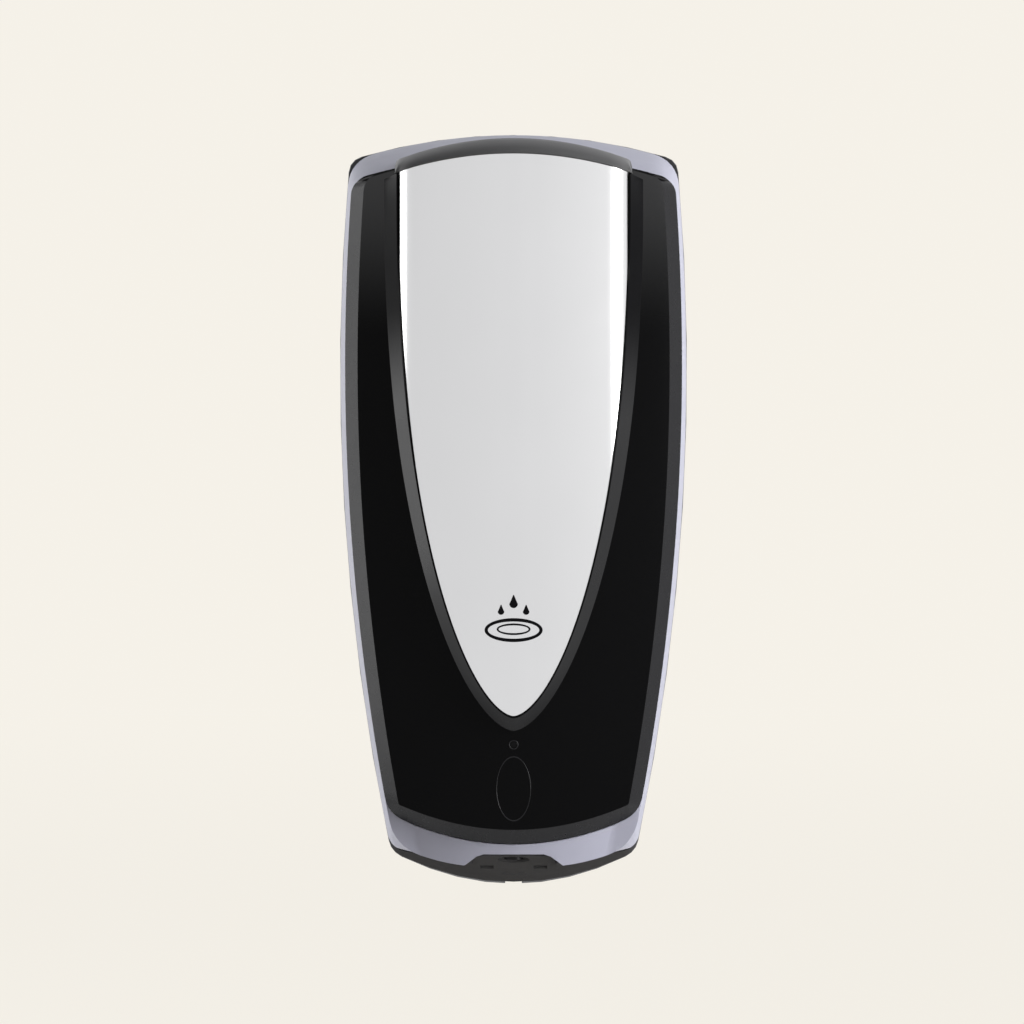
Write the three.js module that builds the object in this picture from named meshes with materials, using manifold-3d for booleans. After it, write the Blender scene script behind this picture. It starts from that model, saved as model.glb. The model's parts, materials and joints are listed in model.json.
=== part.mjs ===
// Touch-free seat sanitiser dispenser for a wall: a hinged cover over a refill, a pump and its drive.
// Millimetres, +Z up, +X to the right as seen from the front. The wall is the plane y = 0, and a depth is
// the distance in front of it, so y = -depth.
import * as THREE from "three";
import { mergeVertices } from "three/addons/utils/BufferGeometryUtils.js";
import Module from "manifold-3d";

const wasm = await Module();
wasm.setup();

// Clearances
const gap = 0.3; // between pieces that touch or are cut by each other
const seam = 0.5; // between the cover and what it closes on
const overrun = 3; // how far a cutting shape runs past what it cuts

// Body form
const height = 280;
const width = 129.8;
const widestDrop = 88; // from the top down to the widest place
const sideNarrowing = 22; // of each side from the widest place to the lowest point
const sideDraftShare = 0.068; // lean of the side walls over their depth
const roofDrop = 14.5; // fall of the roof from the wall to its front edge
const roofFallShare = 1.3; // power of that fall, above 1 for a roof that steepens
const roofRearRadius = 200;
const roofFrontRadius = 150;
const floorRiseShare = 0.17; // rise of the underside over its depth
const floorRearRadius = 86;
const floorFrontRadius = 125;
const coverTopCorner = 9;
const chassisTopCorner = 4.5;
const bottomCorner = 4;

// Front face
const faceDepth = 88; // on the centre line
const faceRadius = 141; // of its bow from side to side
const faceRoll = 5; // how far the face rolls back at its top
const faceRollHeight = 40.5;
const faceWall = 2.6;
const faceContours = [34, 14]; // insets of the face's inner contours from its bevel
const bevelDepth = 5;
const sideBevel = 4.6;
const bottomBevel = 5.3;
const faceBottomRadius = 97;
const chinBand = 7.4; // height of the cover below the face
const faceCornerRadius = 5;
const faceLowerCorner = 6;

// Raised rim and bright panel
const panelHalfWidth = 40.5;
const panelShoulderDrop = 26; // from the top down to where the panel starts to narrow
const panelFootRise = 45.8; // from the face's bottom edge up to the panel's tip
const panelNarrowShare = 2.25; // powers of the outline, which narrows slowly and then rounds
const panelRoundShare = 0.6;
const panelTopDrop = 15.5;
const panelTopRadius = 140;
const panelCrest = 95.5; // depth of the panel on the centre line
const panelRadius = 150;
const panelEdgeRadius = 8;
const panelEdgeWidth = 7;
const panelWall = 1.5;
const panelStep = 0.5; // the rim stands this far in front of the panel
const panelLedge = 3.5;
const rimCrestWidth = 1;
const rimBevelWidth = 4.1;

// Top cap
const capUpperHalfWidth = 40;
const capLowerHalfWidth = 42;
const capRise = 6.1;
const capUpperRadius = 120;
const capLean = 9;
const capTail = 13; // how far it runs back over the roof from the face
const capTape = 1; // thickness of the foam tape that holds it to the face

// Lamp and window in the face
const lampRise = 35.3; // above the face's bottom edge
const lampRadius = 1.5;
const lampProud = 0.1;
const windowRise = 19.8;
const windowWidth = 12;
const windowHeight = 22.5;
const windowFlange = 1.5;
const windowFlangeWall = 1.2;
const lampBoardSize = [11, 4.6, 1.2];
const lampChipHeight = 1;

// Cover
const coverWall = 2.4;
const coverRearChamfer = 1.3;
const notchTopWidth = 24;
const notchBottomWidth = 34.5;
const notchHeight = 3.9;
const skirtRise = 18.5; // of the cover's lower edge above the body's lowest point
const tabLength = 10.5;
const tabHeight = 10;
const tabWall = 2.4;
const tabSetBack = 17.8; // behind the front edge of the walls
const tabUpperDrop = 45; // below the top
const tabLowerRise = 80; // above the lowest point
const bossRadius = 3.2;

// Chassis
const backWall = 2.4;
const rimWall = 2;
const rimDepth = 8.4;
const seamDepth = 1.2; // open joint between the chassis rim and the cover
const rearEdge = 1;
const keyholeUpperOffset = 42;
const keyholeUpperDrop = 36; // below the top
const keyholeLowerOffset = 36;
const keyholeLowerHeight = 16;
const keyholeHead = 4.6;
const keyholeNeck = 2.3;
const keyholeDrop = 8;
const rearNotchWidth = 6.2;
const rearNotchHeight = 1.8;

// Hinge at the top
const hingeDrop = 10.5; // of its axis below the top
const hingeDepth = 21;
const knuckleRadius = 3.5;
const earInner = 18;
const earOuter = 21.7;
const lugInner = 22;
const lugOuter = 26;
const hingePinRadius = 1.25;
const hingePinOverhang = 0.6;
const earFootDrop = 31; // of the ear's lower edge on the wall, below the axis
const earShoulderDrop = 16.3; // clear of the roof's swing

// Base
const baseWall = 2.2;
const baseFrontWall = 1.5;
const scoopStartDepth = 58;
const scoopSlopeShare = 0.342;
const scoopTopWidth = 25;
const scoopBottomWidth = 34;
const nozzleDepth = 74.3;
const nozzleOpeningWidth = 11.3;
const nozzleOpeningDepth = 8;
const eyeOffset = 9.6;
const eyeDepth = 64;
const eyeSlot = [4.8, 4.4];
const eyeRecess = 0.4;
const baseTabWidth = 12;
const baseTabWall = 2.5;
const baseTabRise = 10; // above the base's top edge
const baseScrewOffset = 33;
const baseScrewRise = 5; // above the base's top edge

// Batteries
const cellRadius = 7.1;
const cellLength = 49;
const cellNubRadius = 2.7;
const cellNubHeight = 1.5;
const cellPitch = 15.2;
const cellCount = 4;
const trayWall = 1.5;
const trayDrop = 45.6; // of its upper end below the top
const contactWall = 0.6;
const lidWall = 1.5;

// Refill and pump
const pumpDepth = 53;
const shelfRise = 95.8;
const shelfWall = 3;
const shelfSideRoom = 20.9; // from its side to the widest of the body
const shelfFrontDepth = 70;
const shelfGussetHeight = 16;
const shelfGussetDepth = 38;
const shelfTabWidth = 11.2;
const shelfTabWall = 2.5;
const shelfScrewDrop = 8;
const neckRadius = 11.1;
const neckBore = 8.6;
const neckLength = 12;
const bottleSideRoom = 23.9; // from its side to the widest of the body
const bottleRearDepth = 27;
const bottleFrontDepth = 71;
const bottleCorner = 10;
const bottleTopDrop = 32; // of the bottle's top below the body's top
const closureRadius = 14;
const closureHeight = 13.5;
const closureFloor = 2.5;
const pumpRadius = 8;
const pumpLength = 26;
const pumpInletRadius = 6;
const pumpInletLength = 14;
const pumpFlange = 2;
const stemRadius = 4;
const collarRadius = 9;
const collarHeight = 3;
const spoutRadius = 3.2;
const spoutBore = 1.5;
const spoutTipRadius = 3.6;
const spoutTipLength = 5;
const spoutBend = 5;
const springWall = 1.3;
const pumpTravel = 8;

// Drive
const rackModule = 1;
const rackTeeth = 12; // of the pinion on the rack
const rackTeethCut = 11; // along the rack
const rackTeethAbove = 7; // of these, above the pinion at rest
const wheelModule = 0.8;
const wheelTeeth = 36;
const smallTeeth = 12;
const motorTeeth = 10;
const pressureAngle = THREE.MathUtils.degToRad(20);
const addendumShare = 0.8;
const dedendumShare = 1.15;
const backlashShare = 0.34;
const rackOffset = 8; // of the rack's pitch line from the middle
const outputRise = 48; // above the body's lowest point
const trainAngles = [THREE.MathUtils.degToRad(150), THREE.MathUtils.degToRad(80)];
const axleRadius = 1.5;
const axleBore = 1.8;
const wheelWidth = 4;
const wheelSpacing = 1;
const hubRadius = 5;
const rackWidth = 6.6;
const pinionWidth = 7;
const rackBack = 4.75; // of the bar behind the teeth
const rackLength = 34.3;
const driveWall = 2;
const driveLid = 1.8;
const driveMargin = 2.7; // from the largest tooth tip to the outside of the housing
const axleBossRadius = 3.4;
const driveFloorGap = 2.6; // under the rear wheels
const motorRadius = 10;
const motorFlat = 7.7;
const motorLength = 17;
const motorShaft = 1;
const motorNose = 3;
const guideWall = 2;
const guideLip = 4;
const guideLipWall = 1.8;
const yokeRise = 36.7; // of its top above the body's lowest point
const yokeHalfWidth = 11;
const yokeWall = 4;
const yokeFrontDepth = 64;

// Latch
const latchHalfWidth = 30;
const latchArm = 6;
const latchWall = 2.8;
const latchRearDepth = 43.5;
const latchBridge = 6;
const latchLift = 4;
const latchSwingRoom = 1.3; // left under the lifted hooks for the catches to swing out
const latchPostOffset = 18;
const latchPostRadius = 1.8;
const latchPostHead = 3.6;
const latchPostHeadHeight = 2;
const latchSpringShut = 3.5; // length of its springs when it is lifted
const latchFoot = [8, 4];
const latchFootRecess = 0.2;
const latchRise = 19.4; // of the bar above the body's lowest point
const hookWall = 1.7;
const hookRise = 6.3; // of the hook's top above the bar
const hookTop = 2;
const catchWall = 1.6;
const catchPlay = 1; // between hook and catch

// Boards
const boardWall = 1.6;
const controlBoard = [18, 40];
const controlBoardRoom = 23.9; // from its side to the widest of the body
const controlBoardRise = 36; // of its lower edge above the lowest point
const controlBoardStandoff = 5.3;
const chipSize = [8, 8, 1.6];
const capacitorRadius = 4;
const capacitorLength = 9;
const capacitorDrop = 10.4; // of its middle below the board's top edge
const sensorBoard = [38, 12.6];
const sensorBoardRearDepth = 57;
const sensorBoardRise = 20.4;
const standoffRadius = 2.5;
const eyeBody = [4.2, 3.8];

// Screws
const screwRadius = 1.3;
const screwHole = 1.6;
const screwHeadRadius = 2.8;
const screwHeadHeight = 2;
const screwBoss = 3.2;
const screwLength = 6;

// Fineness, in sides to a circle
const fewSides = 12;
const someSides = 16;
const roundSides = 20;
const finelyRound = 24;

const top = height / 2;
const bottom = -height / 2;

// A geometry as a solid: its shared points are merged, collapsed triangles go, and its faces turn outwards.
function solidFrom(positions, indices) {
  const loose = new THREE.BufferGeometry();
  loose.setAttribute("position", new THREE.Float32BufferAttribute(positions, 3));
  loose.setIndex(indices);
  const merged = mergeVertices(loose, 1e-4);
  const points = merged.attributes.position;
  const corners = [];
  let volume = 0;
  for (let i = 0; i < merged.index.count; i += 3) {
    const [a, b, c] = [0, 1, 2].map((k) => merged.index.getX(i + k));
    if (a === b || b === c || c === a) continue;
    corners.push(a, b, c);
    const [p, q, r] = [a, b, c].map((k) => new THREE.Vector3().fromBufferAttribute(points, k));
    volume += p.dot(q.cross(r));
  }
  if (volume < 0) corners.reverse();
  const vertProperties = new Float32Array(points.array);
  const triVerts = new Uint32Array(corners);
  return new wasm.Manifold(new wasm.Mesh({ numProp: 3, vertProperties, triVerts }));
}

function solidOf(geometry) {
  const bare = geometry.index ? geometry.toNonIndexed() : geometry;
  const positions = Array.from(bare.attributes.position.array);
  return solidFrom(positions, [...positions.keys()].slice(0, positions.length / 3));
}

function join(...solids) {
  return solids.reduce((whole, next) => whole.add(next));
}

function cut(solid, ...cutters) {
  return cutters.reduce((left, next) => left.subtract(next), solid);
}

// A block between two places along x, depth and z.
function block([left, right], [rear, front], [low, high]) {
  const geometry = new THREE.BoxGeometry(right - left, front - rear, high - low);
  geometry.translate((left + right) / 2, -(rear + front) / 2, (low + high) / 2);
  return solidOf(geometry);
}

// Two distances from the middle as places on one side of it, the lower first.
function onSide(side, from, to) {
  return [side * from, side * to].sort((a, b) => a - b);
}

// Round bars along each direction.
function barAlongDepth([x, z], radius, [rear, front], sides = roundSides) {
  const geometry = new THREE.CylinderGeometry(radius, radius, front - rear, sides);
  geometry.translate(x, -(rear + front) / 2, z);
  return solidOf(geometry);
}

function barUp([x, depth], radius, [low, high], sides = roundSides) {
  const geometry = new THREE.CylinderGeometry(radius, radius, high - low, sides);
  geometry.rotateX(Math.PI / 2);
  geometry.translate(x, -depth, (low + high) / 2);
  return solidOf(geometry);
}

function barAcross([depth, z], radius, [left, right], sides = roundSides) {
  const geometry = new THREE.CylinderGeometry(radius, radius, right - left, sides);
  geometry.rotateZ(Math.PI / 2);
  geometry.translate((left + right) / 2, -depth, z);
  return solidOf(geometry);
}

// A flat outline of [x, z] points, extruded from one depth to another.
function plateFacing(points, [rear, front]) {
  const shape = new THREE.Shape(points.map(([x, z]) => new THREE.Vector2(x, z)));
  const geometry = new THREE.ExtrudeGeometry(shape, { depth: front - rear, bevelEnabled: false });
  geometry.rotateX(Math.PI / 2);
  geometry.translate(0, -rear, 0);
  return solidOf(geometry);
}

// A flat outline of [depth, z] points, extruded from one side to the other.
function plateSideways(points, [left, right]) {
  const shape = new THREE.Shape(points.map(([depth, z]) => new THREE.Vector2(-depth, z)));
  const geometry = new THREE.ExtrudeGeometry(shape, { depth: right - left, bevelEnabled: false });
  geometry.rotateY(Math.PI / 2);
  geometry.rotateX(Math.PI / 2);
  geometry.translate(left, 0, 0);
  return solidOf(geometry);
}

// A flat outline of [x, depth] points, extruded upwards from one height to another.
function plateUp(points, [low, high]) {
  const shape = new THREE.Shape(points.map(([x, depth]) => new THREE.Vector2(x, -depth)));
  const geometry = new THREE.ExtrudeGeometry(shape, { depth: high - low, bevelEnabled: false });
  geometry.translate(0, 0, low);
  return solidOf(geometry);
}

// A ring's places are [x, depth, z]. A skin over rings of equally many places is closed by a fan at both
// ends, or, where it goes round like a tube's wall, on itself.
function skin(rings, wraps = false) {
  const count = rings[0].length;
  const positions = rings.flat().flatMap(([x, depth, z]) => [x, -depth, z]);
  const indices = [];
  const last = wraps ? rings.length : rings.length - 1;
  for (let r = 0; r < last; r++) {
    const here = r * count;
    const there = ((r + 1) % rings.length) * count;
    for (let i = 0; i < count; i++) {
      const j = (i + 1) % count;
      indices.push(here + i, here + j, there + j, here + i, there + j, there + i);
    }
  }
  if (!wraps) {
    for (const [r, turned] of [[0, true], [rings.length - 1, false]]) {
      const middle = [0, 1, 2].map((k) => rings[r].reduce((sum, p) => sum + p[k], 0) / count);
      positions.push(middle[0], -middle[1], middle[2]);
      const hub = positions.length / 3 - 1;
      for (let i = 0; i < count; i++) {
        const j = (i + 1) % count;
        indices.push(hub, r * count + (turned ? j : i), r * count + (turned ? i : j));
      }
    }
  }
  return solidFrom(positions, indices);
}

const sag = (x, radius) => (x * x) / (2 * radius);

const blend = (from, to, share) => from + (to - from) * share;

// A closed outline with rounded corners between two sides, a top and a floor, alike on both sides of the
// middle. Each place also says how far it belongs to the top.
function roundedOutline(sideAt, topAt, floorAt, topCorner, floorCorner) {
  const flatSteps = 4;
  const cornerSteps = 3;
  const sideSteps = 8;
  const half = [];
  const meet = (edgeAt) => {
    let x = sideAt(edgeAt(0));
    for (let k = 0; k < 8; k++) x = sideAt(edgeAt(x));
    return [x, edgeAt(x)];
  };
  const corner = (from, at, to, shareFrom, shareTo) => {
    for (let k = 1; k <= cornerSteps; k++) {
      const t = k / cornerSteps;
      const place = [0, 1].map((n) => blend(blend(from[n], at[n], t), blend(at[n], to[n], t), t));
      half.push([...place, blend(shareFrom, shareTo, t)]);
    }
  };
  const low = meet(floorAt);
  const high = meet(topAt);
  for (let k = 0; k <= flatSteps; k++) {
    const x = ((low[0] - floorCorner) * k) / flatSteps;
    half.push([x, floorAt(x), 0]);
  }
  const sideFoot = low[1] + floorCorner;
  const sideHead = high[1] - topCorner;
  corner(half.at(-1), low, [sideAt(sideFoot), sideFoot], 0, 0);
  for (let k = 1; k <= sideSteps; k++) {
    const z = blend(sideFoot, sideHead, k / sideSteps);
    half.push([sideAt(z), z, 0]);
  }
  corner(half.at(-1), high, [high[0] - topCorner, topAt(high[0] - topCorner)], 0, 1);
  for (let k = flatSteps - 1; k >= 0; k--) {
    const x = ((high[0] - topCorner) * k) / flatSteps;
    half.push([x, topAt(x), 1]);
  }
  const mirrored = half.slice(1, -1).reverse().map(([x, z, share]) => [-x, z, share]);
  return [...half, ...mirrored];
}

const atDepth = (outline, depth) => outline.map(([x, z]) => [x, depth, z]);

// Body form: every outer piece is cut from the same leaning sides, falling roof and rising underside.
const edgeDepth = faceDepth - bevelDepth;
const sideLength = height - widestDrop;
const sideRadius = (sideLength ** 2 + sideNarrowing ** 2) / (2 * sideNarrowing);

function sideAt(z, depth) {
  return width / 2 - sideDraftShare * depth - sag(z - (top - widestDrop), sideRadius);
}

function roofAt(x, depth) {
  const share = Math.max(depth, 0) / edgeDepth;
  return top - roofDrop * share ** roofFallShare - sag(x, blend(roofRearRadius, roofFrontRadius, share));
}

function floorAt(x, depth) {
  const share = depth / edgeDepth;
  return bottom + floorRiseShare * depth + sag(x, blend(floorRearRadius, floorFrontRadius, share));
}

// The body's section at one depth, drawn in by an inset.
function sectionAt(depth, inset = 0, topCorner = coverTopCorner) {
  const shrink = Math.min(inset, bottomCorner / 2);
  return atDepth(
    roundedOutline(
      (z) => sideAt(z, depth) - inset,
      (x) => roofAt(x, depth) - inset,
      (x) => floorAt(x, depth) + inset,
      Math.max(topCorner - inset, topCorner / 3),
      bottomCorner - shrink,
    ),
    depth,
  );
}

// Face: bowed from side to side and rolled back at the top.
function faceAt(x, z) {
  const roll = Math.max(0, z - (top - roofDrop - faceRollHeight)) / faceRollHeight;
  return faceDepth - sag(x, faceRadius) - faceRoll * roll ** 2;
}

// Places where the face's bevel leaves the side walls.
function bevelSideAt(z) {
  let side = sideAt(z, edgeDepth);
  for (let k = 0; k < 4; k++) side = sideAt(z, faceAt(side - sideBevel, z) - bevelDepth);
  return side;
}

function faceTopAt(x) {
  let z = roofAt(x, edgeDepth);
  for (let k = 0; k < 4; k++) z = roofAt(x, faceAt(x, z));
  return z;
}

const faceBottom = floorAt(0, edgeDepth) + chinBand + gap;
const faceBottomAt = (x) => faceBottom + sag(x, faceBottomRadius);

// An outline on the face, drawn in from its edge by separate insets at the sides, the floor and the top.
function faceOutline(sideInset, floorInset, topInset) {
  return roundedOutline(
    (z) => bevelSideAt(z) - sideInset,
    (x) => faceTopAt(x) - topInset,
    (x) => faceBottomAt(x) + floorInset,
    faceCornerRadius,
    faceLowerCorner,
  );
}

const bevelInner = faceOutline(sideBevel, bottomBevel, gap);

// Depth of the face's edge at each place of an outline: the bevel's foot at the sides and the floor, and
// the face itself along the top.
function edgeRing(outline, topBack, back = 0) {
  return outline.map(([x, z, share], i) => {
    const [innerX, innerZ] = bevelInner[i];
    return [x, faceAt(innerX, innerZ) - blend(bevelDepth, topBack, share) - back, z];
  });
}

const onFace = (outline, back = 0) => outline.map(([x, z]) => [x, faceAt(x, z) - back, z]);

// Panel outline, a long tongue that narrows to a round tip, and its crest across.
const panelTip = faceBottom + panelFootRise;
const panelShoulder = top - panelShoulderDrop;
const panelTopAt = (x) => top - panelTopDrop - sag(x, panelTopRadius);

function panelSideAt(share, halfWidth) {
  return halfWidth * (1 - share ** panelNarrowShare) ** panelRoundShare;
}

const panelSteps = 12;
const panelTopSteps = 6;
const panelShares = [...Array(panelSteps + 1).keys()].map((k) => {
  return Math.sin((Math.PI / 2) * (k / panelSteps));
});

// The outline grown by a width at its sides and tip, with its top edge drawn down by an inset. Each place
// also says whether it belongs to the top edge.
function panelOutline(grow, topInset = 0) {
  const halfWidth = panelHalfWidth + grow;
  const tip = panelTip - grow;
  const right = panelShares.map((share) => [
    panelSideAt(share, halfWidth),
    blend(panelShoulder, tip, share),
    false,
  ]);
  const head = [];
  for (let k = 0; k <= panelTopSteps; k++) {
    const x = blend(-halfWidth, halfWidth, k / panelTopSteps);
    head.push([x, panelTopAt(x) - topInset, true]);
  }
  const left = right.slice(0, -1).map(([x, z]) => [-x, z, false]).reverse();
  return [...right, ...left, ...head];
}

function crestAt(x) {
  const into = Math.min(Math.max(Math.abs(x) - (panelHalfWidth - panelEdgeWidth), 0), panelEdgeWidth);
  const roll = panelEdgeRadius - Math.sqrt(panelEdgeRadius ** 2 - into ** 2);
  return panelCrest - sag(x, panelRadius) - roll;
}

// A ring on the crest, set back by one distance at the sides and the tip and by another along the top.
function onCrest(outline, back, topBack = back) {
  return outline.map(([x, z, isTop]) => [x, crestAt(x) - (isTop ? topBack : back), z]);
}

// Cover shell
const coverRear = rimDepth + seamDepth;
const skirt = bottom + skirtRise;

function coverSolid() {
  const front = edgeRing(faceOutlineWithChin(0), faceWall, seam);
  const chinFront = edgeRing(faceOutline(coverWall, -gap, coverWall), faceWall, seam);
  const chinBack = edgeRing(faceOutline(coverWall, -gap, coverWall), faceWall + coverWall, gap + coverWall);
  const insideDepths = [edgeDepth - bevelDepth, scoopStartDepth, hingeDepth, coverRear];
  const outside = [
    sectionAt(coverRear, coverRearChamfer),
    sectionAt(coverRear + coverRearChamfer),
    sectionAt(hingeDepth),
    sectionAt((coverRear + edgeDepth) / 2),
    front,
  ];
  const inside = insideDepths.map((depth) => sectionAt(depth, coverWall));
  // The first inner ring stays behind the bevel at the sides, where the face's edge is nearer the wall.
  inside[0] = inside[0].map(([x, depth, z], i) => [x, Math.min(depth, chinBack[i][1] - gap), z]);
  const shell = skin([...outside, chinFront, chinBack, ...inside], true);
  const under = behindChin(0, [bottom - overrun, skirt]);
  const chinFoot = floorAt(0, edgeDepth);
  const notch = plateFacing(
    [
      [-notchBottomWidth / 2, chinFoot - overrun],
      [notchBottomWidth / 2, chinFoot - overrun],
      [notchBottomWidth / 2, chinFoot],
      [notchTopWidth / 2, chinFoot + notchHeight],
      [-notchTopWidth / 2, chinFoot + notchHeight],
      [-notchBottomWidth / 2, chinFoot],
    ],
    [edgeDepth - coverWall - overrun, faceDepth],
  );
  return cut(shell, under, notch);
}

// The back of the chin wall, bowed like the face, and all that lies behind it between two heights.
function chinBackAt(x) {
  return faceAt(x, faceBottom) - bevelDepth - seam - coverWall;
}

function behindChin(back, heights) {
  const steps = 12;
  const front = [...Array(steps + 1).keys()].map((k) => {
    const x = blend(-width / 2, width / 2, k / steps);
    return [x, chinBackAt(x) - back];
  });
  return plateUp([[-width / 2, -overrun], ...front, [width / 2, -overrun]], heights);
}

// The cover's front edge: the face's own edge at the sides and the top, and the chin's lower edge below.
function faceOutlineWithChin(inset) {
  return roundedOutline(
    (z) => bevelSideAt(z) - inset,
    (x) => faceTopAt(x) - inset,
    (x) => floorAt(x, edgeDepth) + inset,
    faceCornerRadius,
    bottomCorner,
  );
}

// Tabs inside the cover, and the bosses of the face that they are screwed to
const tabDepth = edgeDepth - tabSetBack;
const tabHeights = [top - tabUpperDrop, bottom + tabLowerRise];
const tabPlaces = tabHeights.flatMap((z) => [-1, 1].map((side) => ({ side, z })));
const tabInnerAt = (z) => sideAt(z, tabDepth) - coverWall - tabLength;
const tabScrewAt = (z) => tabInnerAt(z) + bossRadius + gap;

function withTabs(shell) {
  return tabPlaces.reduce((whole, { side, z }) => {
    const across = onSide(side, tabInnerAt(z), sideAt(z, tabDepth) - coverWall / 2);
    const tab = block(across, [tabDepth - tabWall, tabDepth], [z - tabHeight / 2, z + tabHeight / 2]);
    const through = [tabDepth - tabWall - overrun, tabDepth + overrun];
    const hole = barAlongDepth([side * tabScrewAt(z), z], screwHole, through, fewSides);
    return cut(join(whole, tab), hole);
  }, shell);
}

// Hinge lugs under the roof and catches behind the chin
const hingeHeight = top - hingeDrop;
const latchHeight = bottom + latchRise;
const hookTopHeight = latchHeight + latchWall + hookRise;
const hookFrontDepth = chinBackAt(latchHalfWidth) - seam;
const catchTopHeight = hookTopHeight - hookTop - catchPlay;
const hookTipHeight = catchTopHeight - latchLift + latchSwingRoom;
const catchFrontDepth = hookFrontDepth - hookWall - catchPlay;

function withLugsAndCatches(shell) {
  let whole = shell;
  for (const side of [-1, 1]) {
    const across = onSide(side, lugInner, lugOuter);
    const roofHere = roofAt(lugOuter, hingeDepth) - coverWall / 2;
    const lug = join(
      block(across, [hingeDepth - knuckleRadius, hingeDepth + knuckleRadius], [hingeHeight, roofHere]),
      barAcross([hingeDepth, hingeHeight], knuckleRadius, across),
    );
    const through = [across[0] - overrun, across[1] + overrun];
    const bore = barAcross([hingeDepth, hingeHeight], hingePinRadius + gap, through);
    const catchAcross = onSide(side, latchHalfWidth - latchArm - gap, latchHalfWidth + gap);
    const catchLow = latchHeight + gap;
    const floor = block(
      catchAcross,
      [catchFrontDepth - catchWall, chinBackAt(latchHalfWidth) + coverWall / 2],
      [catchLow, catchLow + catchWall],
    );
    const upstand = block(
      catchAcross,
      [catchFrontDepth - catchWall, catchFrontDepth],
      [catchLow, catchTopHeight],
    );
    whole = cut(join(whole, lug, floor, upstand), bore);
  }
  return whole;
}

// Face: a bowed shell with a bevel at the sides and the floor, and a raised rim round the panel
function facePlate() {
  const contour = (grow, back) => {
    return onFace(faceOutline(sideBevel + grow, bottomBevel + grow, gap + grow), back);
  };
  const edge = faceOutline(0, 0, 0);
  const lip = faceOutline(coverWall, coverWall, coverWall);
  return skin([
    ...faceContours.map((grow) => contour(grow, faceWall)),
    contour(faceWall / 2, faceWall),
    edgeRing(lip, faceWall),
    edgeRing(edge, faceWall),
    edgeRing(edge, 0),
    onFace(bevelInner),
    ...faceContours.toReversed().map((grow) => contour(grow, 0)),
  ]);
}

// The rim is open at the top, where only its ledge runs across below the cap.
function rim() {
  const crest = gap + rimCrestWidth;
  const seat = panelWall + gap;
  const foot = crest + rimBevelWidth + faceWall / 3;
  return skin(
    [
      onFace(panelOutline(foot), faceWall / 2),
      onCrest(panelOutline(crest), -panelStep, seat),
      onCrest(panelOutline(gap, panelLedge / 3), -panelStep, seat),
      onCrest(panelOutline(gap, panelLedge / 3), seat),
      onCrest(panelOutline(-panelLedge, panelLedge), seat),
      onFace(panelOutline(-panelLedge, panelLedge), faceWall / 2),
    ],
    true,
  );
}

// A wall through the face along a panel outline, for the opening behind the panel.
function panelOpening(inset) {
  const outline = panelOutline(-inset, inset);
  return skin([atDepth(outline, 0), atDepth(outline, panelCrest + overrun)]);
}

function oval(halfWidth, halfHeight, z) {
  return [...Array(finelyRound).keys()].map((k) => {
    const turn = (2 * Math.PI * k) / finelyRound;
    return [halfWidth * Math.cos(turn), z + halfHeight * Math.sin(turn)];
  });
}

const lampHeight = faceBottom + lampRise;
const windowMiddle = faceBottom + windowRise;

function faceSolid() {
  const bosses = tabPlaces.map(({ side, z }) => {
    const x = side * tabScrewAt(z);
    const boss = barAlongDepth([x, z], bossRadius, [tabDepth + gap, faceAt(x, z) - faceWall / 2], fewSides);
    return cut(boss, barAlongDepth([x, z], screwHole, [0, tabDepth + screwLength], fewSides));
  });
  const through = [faceDepth - faceWall - overrun, faceDepth + overrun];
  const window = plateFacing(oval(windowWidth / 2, windowHeight / 2, windowMiddle), through);
  const lamp = barAlongDepth([0, lampHeight], lampRadius + gap, through, someSides);
  const posts = [-1, 1].map((side) => {
    const x = (side * (lampBoardSize[0] - boardWall)) / 2;
    const front = faceDepth - faceWall / 2;
    return block(
      [x - boardWall / 2, x + boardWall / 2],
      [lampBoardFront + gap, front],
      [lampHeight - boardWall, lampHeight + boardWall],
    );
  });
  const opened = cut(facePlate(), panelOpening(panelLedge / 2), window, lamp);
  return join(opened, rim(), ...bosses, ...posts);
}

// Panel: a sheet over its outline, straight from top to bottom and crowned across
function panelSolid() {
  const across = 14;
  const lowerRows = panelShares.map((share) => () => blend(panelShoulder, panelTip, share));
  const rows = [(x) => panelTopAt(x) - seam, ...lowerRows];
  const halfWidths = [panelHalfWidth, ...panelShares.map((share) => panelSideAt(share, panelHalfWidth))];
  const sheet = (back) => {
    return rows.map((heightAt, r) => {
      return [...Array(across + 1).keys()].map((k) => {
        const x = halfWidths[r] * Math.sin((Math.PI / 2) * blend(-1, 1, k / across));
        return [x, crestAt(x) - back, heightAt(x)];
      });
    });
  };
  const front = sheet(0);
  const back = sheet(panelWall);
  return skin(front.map((row, r) => [...row, ...back[r].toReversed()]));
}

// Cap: closes the top of the rim and runs back over the roof
function capSolid() {
  const steps = 12;
  const sections = [...Array(steps + 1).keys()].map((k) => {
    const share = blend(-1, 1, k / steps);
    const low = capLowerHalfWidth * share;
    const high = capUpperHalfWidth * share;
    const upper = top - panelTopDrop + capRise + gap - sag(high, capUpperRadius);
    const foot = panelTopAt(low) + gap;
    const faceTop = faceTopAt(low) + gap;
    const tailDepth = faceAt(low, faceTop) - capTail;
    return [
      [low, crestAt(low) + panelStep, foot],
      [high, crestAt(high) - capLean, upper],
      [low, tailDepth, roofAt(low, tailDepth) + 2 * gap],
      [low, faceAt(low, faceTop) + capTape, faceTop],
      [low, faceAt(low, foot) + capTape, foot],
    ];
  });
  return skin(sections);
}

const lampBoardFront = faceDepth - faceWall - lampChipHeight - gap;

function lampSolid() {
  const rear = lampBoardFront + lampChipHeight + gap;
  return barAlongDepth([0, lampHeight], lampRadius, [rear, faceDepth + lampProud], someSides);
}

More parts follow.
